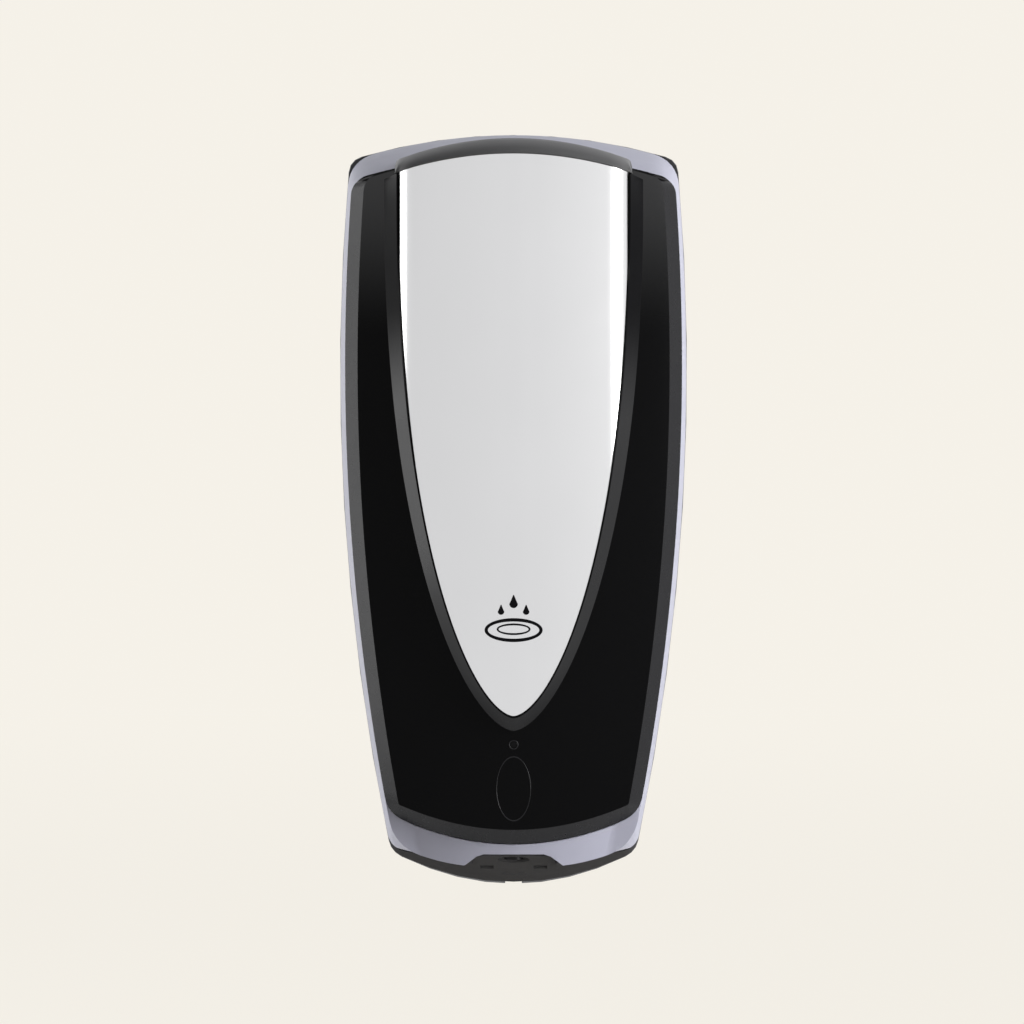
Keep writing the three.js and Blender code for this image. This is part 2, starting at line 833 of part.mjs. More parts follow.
function lampBoardSolid() {
  const [wide, tall, thick] = lampBoardSize;
  const board = block(
    [-wide / 2, wide / 2],
    [lampBoardFront - thick, lampBoardFront],
    [lampHeight - tall / 2, lampHeight + tall / 2],
  );
  const reach = [lampBoardFront - thick / 2, lampBoardFront + lampChipHeight];
  const chip = barAlongDepth([0, lampHeight], lampRadius, reach, someSides);
  return join(board, chip);
}

function windowSolid() {
  const back = faceDepth - faceWall - 2 * gap;
  const pane = plateFacing(
    oval(windowWidth / 2 - gap, windowHeight / 2 - gap, windowMiddle),
    [back - windowFlangeWall / 2, faceDepth - gap],
  );
  const flange = plateFacing(
    oval(windowWidth / 2 + windowFlange, windowHeight / 2 + windowFlange, windowMiddle),
    [back - windowFlangeWall, back],
  );
  return join(pane, flange);
}

// Chassis: a back wall with a rim all round, hinge ears, bosses and keyholes for the wall screws
const baseTop = skirt - seam;
const shelfHeight = bottom + shelfRise;
const shelfHalfWidth = width / 2 - shelfSideRoom;
const outputHeight = bottom + outputRise;
const outputPlace = [rackOffset - (rackModule * rackTeeth) / 2, outputHeight];
const along = ([x, z], angle, distance) => [x + distance * Math.cos(angle), z + distance * Math.sin(angle)];
const compoundPlace = along(outputPlace, trainAngles[0], (wheelModule * (wheelTeeth + smallTeeth)) / 2);
const motorPlace = along(compoundPlace, trainAngles[1], (wheelModule * (wheelTeeth + motorTeeth)) / 2);
const wheelTip = wheelModule * (wheelTeeth / 2 + addendumShare);
const driveLeft = compoundPlace[0] - wheelTip - driveMargin;
const driveRight = outputPlace[0] + wheelTip + driveMargin;
const driveLow = outputPlace[1] - wheelTip - driveMargin;
const driveHigh = motorPlace[1] + wheelModule * (motorTeeth / 2 + addendumShare) + driveMargin;
const driveScrewInset = screwHeadRadius + gap;
const driveScrewPlaces = [
  [driveLeft + driveScrewInset + driveWall, driveLow + driveScrewInset + driveWall],
  [driveLeft + driveScrewInset + driveWall, driveHigh - driveScrewInset - driveWall],
  [driveRight - driveScrewInset - driveWall, driveHigh - driveScrewInset - driveWall],
];
const shelfScrewPlaces = [-1, 1].map((side) => [
  side * (shelfHalfWidth - shelfTabWidth / 2),
  shelfHeight - shelfScrewDrop,
]);
const baseScrewPlaces = [-1, 1].map((side) => [side * baseScrewOffset, baseTop + baseScrewRise]);
const boardLeft = width / 2 - controlBoardRoom - controlBoard[0];
const boardLow = bottom + controlBoardRise;
const boardInset = standoffRadius + gap;
const boardScrewPlaces = [
  [boardLeft + boardInset, boardLow + boardInset],
  [boardLeft + controlBoard[0] - boardInset, boardLow + controlBoard[1] - boardInset],
];
const screwTipDepth = backWall / 3;
const keyholePlaces = [-1, 1].flatMap((side) => [
  [side * keyholeUpperOffset, top - keyholeUpperDrop],
  [side * keyholeLowerOffset, keyholeLowerHeight],
]);

function backPlateSolid() {
  const tray = skin([
    sectionAt(0, rearEdge, chassisTopCorner),
    sectionAt(rearEdge, 0, chassisTopCorner),
    sectionAt(rimDepth, 0, chassisTopCorner),
    sectionAt(rimDepth, rimWall, chassisTopCorner),
    sectionAt(backWall, rimWall, chassisTopCorner),
  ]);
  const openings = keyholePlaces.flatMap(([x, z]) => [
    barAlongDepth([x, z - keyholeDrop], keyholeHead, [-overrun, backWall + overrun], someSides),
    barAlongDepth([x, z], keyholeNeck, [-overrun, backWall + overrun], fewSides),
    block([x - keyholeNeck, x + keyholeNeck], [-overrun, backWall + overrun], [z - keyholeDrop, z]),
  ]);
  const notch = block(
    [-rearNotchWidth / 2, rearNotchWidth / 2],
    [-overrun, rimDepth + overrun],
    [bottom - overrun, bottom + rearNotchHeight],
  );
  const bosses = [
    ...baseScrewPlaces.map((place) => [place, screwBoss, rimDepth]),
    ...boardScrewPlaces.map((place) => [place, standoffRadius, backWall + controlBoardStandoff]),
  ].map(([place, radius, front]) => barAlongDepth(place, radius, [backWall / 2, front], fewSides));
  const screwPlaces = [...driveScrewPlaces, ...shelfScrewPlaces, ...baseScrewPlaces, ...boardScrewPlaces];
  const screwHoles = screwPlaces.map((place) => {
    return barAlongDepth(place, screwHole, [screwTipDepth, rimDepth + overrun], fewSides);
  });
  return cut(join(tray, ...bosses, ...hingeEars()), notch, ...openings, ...screwHoles);
}

// Each ear rises in front of the roof's swing, on a foot from the back wall.
function hingeEars() {
  return [-1, 1].map((side) => {
    const across = onSide(side, earInner, earOuter);
    const rear = hingeDepth - knuckleRadius;
    const front = hingeDepth + knuckleRadius;
    const arm = plateSideways(
      [
        [backWall / 2, hingeHeight - earFootDrop],
        [front, hingeHeight - earShoulderDrop - knuckleRadius * 2],
        [front, hingeHeight],
        [rear, hingeHeight],
        [rear, hingeHeight - earShoulderDrop],
        [backWall / 2, hingeHeight - earShoulderDrop - gap],
      ],
      across,
    );
    const knuckle = barAcross([hingeDepth, hingeHeight], knuckleRadius, across);
    const reach = [across[0] - overrun, across[1] + overrun];
    return cut(join(arm, knuckle), barAcross([hingeDepth, hingeHeight], hingePinRadius + gap, reach));
  });
}

// Base: a tub under the cover, flush with it, open to the back wall
const scoopAt = (depth) => floorAt(0, scoopStartDepth) + scoopSlopeShare * (depth - scoopStartDepth);
const baseRear = rimDepth + gap;
const baseFront = edgeDepth - coverWall - seam;

function scoopCutter(grow) {
  const far = edgeDepth + overrun;
  const low = floorAt(0, scoopStartDepth) - overrun;
  const wedge = plateSideways(
    [
      [scoopStartDepth - grow, scoopAt(scoopStartDepth)],
      [far, scoopAt(far) + grow],
      [far, low - overrun],
      [scoopStartDepth - grow, low - overrun],
    ],
    [-scoopBottomWidth, scoopBottomWidth],
  );
  const sides = plateFacing(
    [
      [-scoopTopWidth / 2 - grow, scoopAt(far) + overrun],
      [-scoopBottomWidth / 2 - grow, low],
      [-scoopBottomWidth / 2 - grow, low - overrun],
      [scoopBottomWidth / 2 + grow, low - overrun],
      [scoopBottomWidth / 2 + grow, low],
      [scoopTopWidth / 2 + grow, scoopAt(far) + overrun],
    ],
    [0, far + overrun],
  );
  return wedge.intersect(sides);
}

// The highest that the underside, or the scoop in it, gets under a round boss
function undersideAt(x, depth, radius) {
  return Math.max(floorAt(x + radius, depth + radius), scoopAt(depth + radius));
}

function baseSolid() {
  const depths = [baseRear, hingeDepth, (baseRear + baseFront) / 2, scoopStartDepth, baseFront];
  const outside = skin(depths.map((depth) => sectionAt(depth)));
  const insideDepths = [baseRear - overrun, hingeDepth, scoopStartDepth, baseFront];
  const inside = skin(
    insideDepths.map((depth) => sectionAt(Math.max(depth, 0), baseWall).map(([x, , z]) => [x, depth, z])),
  );
  const above = block([-width, width], [-overrun, faceDepth], [baseTop, top + overrun]);
  const heights = [bottom - overrun, top];
  const scooped = cut(outside, above, scoopCutter(0)).intersect(behindChin(seam, heights));
  const hollow = cut(inside, scoopCutter(baseWall)).intersect(behindChin(seam + baseFrontWall, heights));
  let base = cut(scooped, hollow);
  const tabFloor = floorAt(baseScrewOffset + baseTabWidth / 2, baseRear) + baseWall / 2;
  for (const [x, z] of baseScrewPlaces) {
    const across = [x - baseTabWidth / 2, x + baseTabWidth / 2];
    const tab = block(across, [baseRear, baseRear + baseTabWall], [tabFloor, baseTop + baseTabRise]);
    const hole = barAlongDepth([x, z], screwHole, [0, baseRear + baseTabWall + overrun], fewSides);
    base = cut(join(base, tab), hole);
  }
  for (const side of [-1, 1]) {
    const postPlace = [side * latchPostOffset, latchPostDepth];
    const standoffPlace = [side * sensorStandoffOffset, sensorBoardRearDepth + standoffRadius];
    const postFoot = undersideAt(latchPostOffset, latchPostDepth, latchPostHead) + gap;
    const standoffFoot = undersideAt(sensorStandoffOffset, standoffPlace[1], standoffRadius) + gap;
    const postBoss = barUp(postPlace, latchPostHead, [postFoot, latchHeight - gap], fewSides);
    const standoffReach = [standoffFoot, sensorBoardHeight - gap];
    const standoff = barUp(standoffPlace, standoffRadius, standoffReach, fewSides);
    const postHole = barUp(postPlace, latchPostRadius + gap, [latchPostTip, latchHeight], fewSides);
    base = cut(join(base, postBoss, standoff), postHole);
  }
  return cut(base, ...baseOpenings());
}

const latchPostDepth = latchRearDepth + latchArm / 2;
const latchPostTip = undersideAt(latchPostOffset, latchPostDepth, latchPostHead) + baseWall + gap;
const sensorBoardHeight = bottom + sensorBoardRise;
const sensorStandoffOffset = sensorBoard[0] / 2 - standoffRadius;

function baseOpenings() {
  const under = [bottom - overrun, baseTop];
  const opening = new THREE.CylinderGeometry(1, 1, under[1] - under[0], finelyRound);
  opening.rotateX(Math.PI / 2);
  opening.scale(nozzleOpeningWidth / 2, nozzleOpeningDepth / 2, 1);
  opening.translate(0, -nozzleDepth, (under[0] + under[1]) / 2);
  const eyes = [-1, 1].map((side) => {
    const x = side * eyeOffset;
    const [wide, deep] = eyeSlot;
    return block([x - wide / 2, x + wide / 2], [eyeDepth - deep / 2, eyeDepth + deep / 2], under);
  });
  const [footWide, footDeep] = latchFoot;
  const key = block(
    [-footWide / 2 - gap, footWide / 2 + gap],
    [latchPostDepth - footDeep / 2 - gap, latchPostDepth + footDeep / 2 + gap],
    under,
  );
  const rearNotch = block(
    [-rearNotchWidth / 2, rearNotchWidth / 2],
    [0, rimDepth + rearNotchHeight],
    [bottom - overrun, bottom + rearNotchHeight],
  );
  return [solidOf(opening), ...eyes, key, rearNotch];
}

// Toothed outline round the origin, with involute flanks and one tooth centred at the given angle.
function gearOutline(teeth, module, centredAt, bore) {
  const pitch = (teeth * module) / 2;
  const base = pitch * Math.cos(pressureAngle);
  const tip = pitch + addendumShare * module;
  const root = pitch - dedendumShare * module;
  const involute = (radius) => {
    const slope = Math.sqrt(Math.max((radius / base) ** 2 - 1, 0));
    return slope - Math.atan(slope);
  };
  const halfTooth = (Math.PI / 2 - backlashShare / 2) / teeth;
  const halfAt = (radius) => halfTooth + involute(pitch) - involute(Math.max(radius, base));
  const shape = new THREE.Shape();
  const flank = base - root > module / 4 ? [root, base, pitch, tip] : [root, pitch, tip];
  for (let k = 0; k < teeth; k++) {
    const middle = centredAt + (2 * Math.PI * k) / teeth;
    const places = [
      ...flank.map((radius) => [radius, middle - halfAt(radius)]),
      ...flank.toReversed().map((radius) => [radius, middle + halfAt(radius)]),
    ];
    for (const [i, [radius, angle]] of places.entries()) {
      const [x, z] = [radius * Math.cos(angle), radius * Math.sin(angle)];
      if (k === 0 && i === 0) shape.moveTo(x, z);
      else shape.lineTo(x, z);
    }
  }
  const hole = new THREE.Path();
  hole.absarc(0, 0, bore, 0, 2 * Math.PI, true);
  shape.holes.push(hole);
  return shape;
}

// A gear round the depth axis through the origin, from one depth to another.
function gearSolid(teeth, module, centredAt, bore, [rear, front]) {
  const geometry = new THREE.ExtrudeGeometry(gearOutline(teeth, module, centredAt, bore), {
    depth: front - rear,
    bevelEnabled: false,
    curveSegments: fewSides / 2,
  });
  geometry.rotateX(Math.PI / 2);
  geometry.translate(0, -rear, 0);
  return solidOf(geometry);
}

function ringAlongDepth(radius, bore, [rear, front], sides = someSides) {
  return cut(
    barAlongDepth([0, 0], radius, [rear, front], sides),
    barAlongDepth([0, 0], bore, [rear - overrun, front + overrun], sides),
  );
}

// Drive: depths of its layers, from the wall forwards
const driveRear = backWall + gap;
const wheelRear = driveRear + driveWall + driveFloorGap;
const secondRear = wheelRear + wheelWidth + wheelSpacing;
const secondFront = secondRear + wheelWidth;
const lidRear = secondFront + driveFloorGap;
const lidFront = lidRear + driveLid;
const pinionRear = lidFront + wheelSpacing;
const rackRear = lidFront + 2 * gap + wheelSpacing;
const rackFront = rackRear + rackWidth;
const gapAngle = (teeth) => Math.PI / teeth;

function driveBox([rear, front], inset) {
  return block(
    [driveLeft + inset, driveRight - inset],
    [rear, front],
    [driveLow + inset, driveHigh - inset],
  );
}

function driveRearSolid() {
  const tub = cut(
    driveBox([driveRear, lidRear - gap], 0),
    driveBox([driveRear + driveWall, lidRear + overrun], driveWall),
  );
  const floor = driveRear + driveWall / 2;
  const outputBoss = barAlongDepth(outputPlace, axleBossRadius, [floor, secondRear - gap], fewSides);
  const compoundBoss = barAlongDepth(compoundPlace, axleBossRadius, [floor, wheelRear - gap], fewSides);
  const postReach = [floor, lidRear - gap];
  const posts = driveScrewPlaces.map((place) => barAlongDepth(place, screwBoss, postReach, fewSides));
  const holes = [
    barAlongDepth(outputPlace, axleBore, [floor, lidRear], fewSides),
    barAlongDepth(compoundPlace, axleBore, [floor, lidRear], fewSides),
    ...driveScrewPlaces.map((place) => barAlongDepth(place, screwHole, [0, lidRear + overrun], fewSides)),
  ];
  return cut(join(tub, outputBoss, compoundBoss, ...posts), ...holes);
}

const barRight = rackOffset + dedendumShare * rackModule + rackBack;
const yokeTop = bottom + yokeRise;
const yokeBottom = yokeTop - yokeWall;
const rackTop = yokeBottom + rackLength;
const guideLeft = barRight + gap;

function driveLidSolid() {
  const lid = driveBox([lidRear, lidFront], 0);
  const wall = block(
    [guideLeft, guideLeft + guideWall],
    [lidFront - gap, rackFront + gap + guideLipWall],
    [driveLow, rackTop + pumpTravel / 2],
  );
  const lip = block(
    [guideLeft + guideWall - guideLip, guideLeft + guideWall],
    [rackFront + gap, rackFront + gap + guideLipWall],
    [driveLow, rackTop + pumpTravel / 2],
  );
  const seatReach = [secondFront + wheelSpacing, lidRear + gap];
  const compoundSeat = barAlongDepth(compoundPlace, axleBossRadius, seatReach, fewSides);
  const through = [lidRear - overrun, lidFront + overrun];
  const holes = [
    barAlongDepth(outputPlace, hubRadius + gap, through, someSides),
    barAlongDepth(motorPlace, motorShaft + gap, through, fewSides),
    barAlongDepth(compoundPlace, axleBore, [0, lidFront - driveLid / 3], fewSides),
    ...driveScrewPlaces.map((place) => barAlongDepth(place, screwHole, through, fewSides)),
  ];
  return cut(join(lid, wall, lip, compoundSeat), ...holes);
}

// The output gear turns on its axle in three parts: a wheel, a hub through the lid and a pinion.
function outputGearSolid() {
  const wheel = gearSolid(wheelTeeth, wheelModule, trainAngles[0], axleBore, [secondRear, secondFront]);
  const hub = ringAlongDepth(hubRadius, axleBore, [secondFront - gap, pinionRear + gap]);
  const pinion = gearSolid(rackTeeth, rackModule, 0, axleBore, [pinionRear, pinionRear + pinionWidth]);
  return join(wheel, hub, pinion);
}

function compoundGearSolid() {
  const wheelReach = [wheelRear, wheelRear + wheelWidth];
  const wheel = gearSolid(wheelTeeth, wheelModule, trainAngles[1], axleBore, wheelReach);
  const meshAngle = trainAngles[0] + Math.PI + gapAngle(smallTeeth);
  const smallReach = [wheelRear + wheelWidth - gap, secondFront + gap];
  const small = gearSolid(smallTeeth, wheelModule, meshAngle, axleBore, smallReach);
  return join(wheel, small);
}

function motorPinionSolid() {
  const meshAngle = trainAngles[1] + Math.PI + gapAngle(motorTeeth);
  const reach = [wheelRear, wheelRear + wheelWidth];
  return gearSolid(motorTeeth, wheelModule, meshAngle, motorShaft + gap, reach);
}

function motorSolid() {
  const rear = lidFront + gap;
  const can = barAlongDepth([0, 0], motorRadius, [rear, rear + motorLength], finelyRound);
  const flats = block([-motorRadius, motorRadius], [0, rear + motorLength], [-motorFlat, motorFlat]);
  const end = rear + motorLength;
  const nose = barAlongDepth([0, 0], motorNose, [end - gap, end + motorShaft], fewSides);
  const shaft = barAlongDepth([0, 0], motorShaft, [wheelRear, rear + gap], fewSides);
  return join(can.intersect(flats), nose, shaft);
}

// Carriage: a rack, an arm forwards and a yoke under the pump's collar
function carriageSolid() {
  const tip = addendumShare * rackModule;
  const root = dedendumShare * rackModule;
  const step = Math.PI * rackModule;
  const halfTooth = (step * (1 - backlashShare / Math.PI)) / 4;
  const lean = Math.tan(pressureAngle);
  const points = [[barRight, yokeBottom], [barRight, rackTop], [rackOffset + root, rackTop]];
  // At rest the pinion stands near the top of the rack, which the carriage's rise takes past it.
  for (let k = 0; k < rackTeethCut; k++) {
    const middle = outputPlace[1] + step * (rackTeethAbove - k - 1 / 2);
    if (middle + step / 2 > rackTop || middle - step / 2 < yokeTop + gap) continue;
    points.push(
      [rackOffset + root, middle + halfTooth + lean * root],
      [rackOffset - tip, middle + halfTooth - lean * tip],
      [rackOffset - tip, middle - halfTooth + lean * tip],
      [rackOffset + root, middle - halfTooth - lean * root],
    );
  }
  points.push([rackOffset + root, yokeBottom]);
  const rack = plateFacing(points, [rackRear, rackFront]);
  const armRight = guideLeft + guideWall - guideLip - gap;
  const arm = block([rackOffset + root, armRight], [rackFront - gap, pumpDepth], [yokeBottom, yokeTop]);
  const yoke = block(
    [-yokeHalfWidth, armRight],
    [pumpDepth - yokeHalfWidth, yokeFrontDepth],
    [yokeBottom, yokeTop],
  );
  const hole = barUp([0, pumpDepth], stemRadius + gap, [yokeBottom - overrun, yokeTop + overrun]);
  return cut(join(rack, arm, yoke), hole);
}

// Nozzle: a stem with a collar, and a spout that bends forwards and down to the base's opening
const collarTop = yokeTop + gap + collarHeight;
const spoutHeight = yokeBottom - seam - spoutRadius;
const tipLow = scoopAt(nozzleDepth) + gap;

function nozzleSolid() {
  const stem = barUp([0, pumpDepth], stemRadius, [spoutHeight, pumpLow + pumpTravel]);
  const collar = barUp([0, pumpDepth], collarRadius, [yokeTop + gap, collarTop], finelyRound);
  const route = new THREE.CurvePath();
  const rear = new THREE.Vector3(0, -pumpDepth, spoutHeight);
  const bendIn = new THREE.Vector3(0, -(nozzleDepth - spoutBend), spoutHeight);
  const corner = new THREE.Vector3(0, -nozzleDepth, spoutHeight);
  const bendOut = new THREE.Vector3(0, -nozzleDepth, spoutHeight - spoutBend);
  const end = new THREE.Vector3(0, -nozzleDepth, tipLow + spoutTipLength / 2);
  route.add(new THREE.LineCurve3(rear, bendIn));
  route.add(new THREE.QuadraticBezierCurve3(bendIn, corner, bendOut));
  route.add(new THREE.LineCurve3(bendOut, end));
  const section = new THREE.Shape();
  section.absarc(0, 0, spoutRadius, 0, 2 * Math.PI);
  const along = { steps: someSides, extrudePath: route, curveSegments: fewSides / 2 };
  const tube = new THREE.ExtrudeGeometry(section, along);
  const elbow = new THREE.SphereGeometry(stemRadius, someSides, fewSides);
  elbow.translate(0, -pumpDepth, spoutHeight);
  const tip = barUp([0, nozzleDepth], spoutTipRadius, [tipLow, tipLow + spoutTipLength], someSides);
  const bore = barUp([0, nozzleDepth], spoutBore, [tipLow - overrun, tipLow + spoutTipLength], fewSides);
  return cut(join(stem, collar, solidOf(tube), solidOf(elbow), tip), bore);
}

// Pump
const closureTop = shelfHeight - gap;
const closureLow = closureTop - closureHeight;
const pumpLow = closureLow - pumpLength;

function latheUp(points, sides) {
  const profile = points.map(([radius, z]) => new THREE.Vector2(radius, z));
  const geometry = new THREE.LatheGeometry([...profile, profile[0]], sides);
  geometry.rotateX(Math.PI / 2);
  return solidOf(geometry).translate([0, -pumpDepth, 0]);
}

function pumpSolid() {
  const flangeTop = closureLow + closureFloor + gap + pumpFlange;
  return latheUp(
    [
      [stemRadius + gap, pumpLow],
      [pumpRadius, pumpLow],
      [pumpRadius, flangeTop - pumpFlange],
      [neckRadius, flangeTop - pumpFlange],
      [neckRadius, flangeTop],
      [pumpInletRadius, flangeTop],
      [pumpInletRadius, flangeTop + pumpInletLength],
      [0, flangeTop + pumpInletLength],
      [0, pumpLow + 2 * pumpTravel + seam],
      [stemRadius + gap, pumpLow + 2 * pumpTravel + seam],
    ],
    finelyRound,
  );
}

function closureSolid() {
  return latheUp(
    [
      [pumpRadius + gap, closureLow],
      [closureRadius, closureLow],
      [closureRadius, closureTop],
      [neckRadius + gap, closureTop],
      [neckRadius + gap, closureLow + closureFloor],
      [pumpRadius + gap, closureLow + closureFloor],
    ],
    finelyRound,
  );
}

function pumpSpringSolid() {
  const inner = stemRadius + gap + springWall / 2;
  const outer = inner + springWall;
  const [low, high] = [collarTop + gap, pumpLow - gap];
  return latheUp([[inner, low], [outer, low], [outer, high], [inner, high]]);
}

// Bottle, full, with a neck that takes the pump's inlet
function bottleSolid() {
  const bottleHalfWidth = width / 2 - bottleSideRoom;
  const foot = shelfHeight + shelfWall + gap;
  const head = top - bottleTopDrop;
  const middle = (bottleRearDepth + bottleFrontDepth) / 2;
  const halfDepth = (bottleFrontDepth - bottleRearDepth) / 2;
  const ring = (inset, z) => {
    const corner = bottleCorner;
    const cornersAt = [
      [bottleHalfWidth - corner, halfDepth - corner, 0],
      [-(bottleHalfWidth - corner), halfDepth - corner, 1],
      [-(bottleHalfWidth - corner), -(halfDepth - corner), 2],
      [bottleHalfWidth - corner, -(halfDepth - corner), 3],
    ];
    return cornersAt.flatMap(([x, depth, quarter]) => {
      return [0, 1, 2, 3, 4].map((k) => {
        const turn = (Math.PI / 2) * (quarter + k / 4);
        const away = corner - inset;
        return [x + away * Math.cos(turn), middle + depth + away * Math.sin(turn), z];
      });
    });
  };
  const shoulders = [0, 1, 2, 3].map((k) => {
    const turn = (Math.PI / 2) * (k / 3);
    return [bottleCorner * (1 - Math.sin(turn)), bottleCorner * (1 - Math.cos(turn))];
  });
  const lower = shoulders.map(([inset, rise]) => ring(Math.min(inset, bottleCorner - gap), foot + rise));
  const upper = shoulders.map(([inset, rise]) => ring(Math.min(inset, bottleCorner - gap), head - rise));
  const body = skin([...lower, ...upper.toReversed()]);
  const neck = barUp([0, pumpDepth], neckRadius, [foot - neckLength, foot + gap], finelyRound);
  const bore = barUp([0, pumpDepth], neckBore, [foot - neckLength - overrun, foot + pumpInletLength]);
  return cut(join(body, neck), bore);
}

// Shelf under the bottle, open at the front for its neck, with two gussets and screwed tabs
function shelfSolid() {
  const rear = backWall + gap;
  const heights = [shelfHeight, shelfHeight + shelfWall];
  const plate = block([-shelfHalfWidth, shelfHalfWidth], [rear, shelfFrontDepth], heights);
  const slotRadius = neckRadius + gap;
  const through = [shelfHeight - overrun, shelfHeight + shelfWall + overrun];
  const slot = join(
    barUp([0, pumpDepth], slotRadius, through, finelyRound),
    block(
      [-slotRadius, slotRadius],
      [pumpDepth, shelfFrontDepth + overrun],
      through,
    ),
  );
  const sides = [-1, 1].map((side) => {
    const gusset = plateSideways(
      [
        [rear, shelfHeight - shelfGussetHeight],
        [rear + shelfTabWall, shelfHeight - shelfGussetHeight],
        [shelfGussetDepth, shelfHeight + gap],
        [rear, shelfHeight + gap],
      ],
      onSide(side, shelfHalfWidth - shelfTabWall, shelfHalfWidth),
    );
    const tab = block(
      onSide(side, shelfHalfWidth - shelfTabWidth, shelfHalfWidth),
      [rear, rear + shelfTabWall],
      [shelfHeight - shelfGussetHeight, shelfHeight + gap],
    );
    return join(gusset, tab);
  });
  const screwReach = [0, rear + shelfTabWall + overrun];
  const holes = shelfScrewPlaces.map((place) => barAlongDepth(place, screwHole, screwReach, fewSides));
  return cut(join(plate, ...sides), slot, ...holes);
}

// Batteries: a tub on the back wall with a contact strip at each end and a lid
const trayEnd = trayWall + contactWall + 2 * gap;
const trayFoot = top - trayDrop - 2 * trayEnd - cellLength - cellNubHeight;
const trayHalfWidth = (cellPitch * cellCount) / 2 + trayWall;
const stripLow = trayFoot + trayWall + gap;
const cellLow = stripLow + contactWall + gap;
const cellHigh = cellLow + cellLength + cellNubHeight;
const stripHigh = cellHigh + gap;
const trayHead = stripHigh + trayEnd - gap;
const trayRear = backWall + gap;
const cellDepth = trayRear + trayWall + gap + cellRadius;
const trayFront = cellDepth + cellRadius + gap;
const cellPlaces = [...Array(cellCount).keys()].map((k) => (k - (cellCount - 1) / 2) * cellPitch);

function traySolid() {
  return cut(
    block([-trayHalfWidth, trayHalfWidth], [trayRear, trayFront], [trayFoot, trayHead]),
    block(
      [-trayHalfWidth + trayWall, trayHalfWidth - trayWall],
      [trayRear + trayWall, trayFront + overrun],
      [trayFoot + trayWall, trayHead - trayWall],
    ),
  );
}

function contactSolid(low) {
  return block(
    [-trayHalfWidth + trayWall + gap, trayHalfWidth - trayWall - gap],
    [cellDepth - cellRadius, cellDepth + cellRadius],
    [low, low + contactWall],
  );
}

function batteryLidSolid() {
  const lid = block(
    [-trayHalfWidth, trayHalfWidth],
    [trayFront + gap, trayFront + gap + lidWall],
    [trayFoot, trayHead],
  );
  const grip = block(
    [-cellRadius, cellRadius],
    [trayFront + gap + lidWall / 2, trayFront + gap + lidWall + contactWall],
    [trayHead - cellRadius, trayHead - cellRadius + 2 * contactWall],
  );
  return join(lid, grip);
}

// A cell stands on its flat end at the origin.
function cellSolid() {
  return join(
    barUp([0, 0], cellRadius, [0, cellLength]),
    barUp([0, 0], cellNubRadius, [cellLength - gap, cellLength + cellNubHeight], fewSides),
  );
}

// Latch: a frame with two hooks in front, which is lifted through the key slot
function latchSolid() {
  const [low, high] = [latchHeight, latchHeight + latchWall];
  const footHalf = latchFoot[0] / 2;
  const footDeep = latchFoot[1] / 2;
  const armDepths = [latchRearDepth, latchRearDepth + latchArm];
  const rear = block([-latchHalfWidth, latchHalfWidth], armDepths, [low, high]);
  const footLow = floorAt(0, latchPostDepth) + latchFootRecess;
  const foot = block(
    [-footHalf, footHalf],
    [latchPostDepth - footDeep, latchPostDepth + footDeep],
    [footLow, low + gap],
  );
  const postRear = catchFrontDepth - catchWall - 2 * catchPlay - latchBridge / 2;
  const sides = [-1, 1].map((side) => {
    const across = onSide(side, latchHalfWidth - latchArm, latchHalfWidth);
    return join(
      block(across, [latchRearDepth, postRear + latchBridge / 2], [low, high]),
      block(across, [postRear, postRear + latchBridge / 2], [low, hookTopHeight]),
      block(across, [postRear, hookFrontDepth], [hookTopHeight - hookTop, hookTopHeight]),
      block(across, [hookFrontDepth - hookWall, hookFrontDepth], [hookTipHeight, hookTopHeight]),
    );
  });
  const holes = [-1, 1].map((side) => {
    const place = [side * latchPostOffset, latchPostDepth];
    return barUp(place, latchPostRadius + gap, [low - overrun, high + overrun], fewSides);
  });
  return cut(join(rear, foot, ...sides), ...holes);
}

const latchHeadLow = latchHeight + latchWall + latchLift + latchSpringShut;

// A shouldered screw through the latch, at the origin of its own axis.
function latchPostSolid() {
  return join(
    barUp([0, 0], latchPostRadius, [latchPostTip + gap, latchHeadLow + gap], fewSides),
    barUp([0, 0], latchPostHead, [latchHeadLow, latchHeadLow + latchPostHeadHeight], someSides),
  );
}

function latchSpringSolid() {
  const [low, high] = [latchHeight + latchWall + gap, latchHeadLow - gap];
  return cut(
    barUp([0, 0], latchPostRadius + gap + springWall, [low, high], fewSides),
    barUp([0, 0], latchPostRadius + gap, [low - overrun, high + overrun], fewSides),
  );
}

// Boards
function controlBoardSolid() {
  const rear = backWall + controlBoardStandoff + gap;
  const [wide, tall] = controlBoard;
  const board = block([boardLeft, boardLeft + wide], [rear, rear + boardWall], [boardLow, boardLow + tall]);
  const middle = boardLeft + wide / 2;
  const [chipWide, chipTall, chipThick] = chipSize;
  const front = rear + boardWall - gap;
  const chip = block(
    [middle - chipWide / 2, middle + chipWide / 2],
    [front, front + gap + chipThick],
    [boardLow + tall / 2 - chipTall, boardLow + tall / 2],
  );
  const capacitor = barAlongDepth(
    [middle, boardLow + tall - capacitorDrop],
    capacitorRadius,
    [front, front + capacitorLength],
    someSides,
  );
  const through = [0, rear + boardWall + overrun];
  const holes = boardScrewPlaces.map((place) => barAlongDepth(place, screwHole, through, fewSides));
  return cut(join(board, chip, capacitor), ...holes);
}

function sensorBoardSolid() {
  const [wide, deep] = sensorBoard;
  return block(
    [-wide / 2, wide / 2],
    [sensorBoardRearDepth, sensorBoardRearDepth + deep],
    [sensorBoardHeight, sensorBoardHeight + boardWall],
  );
}

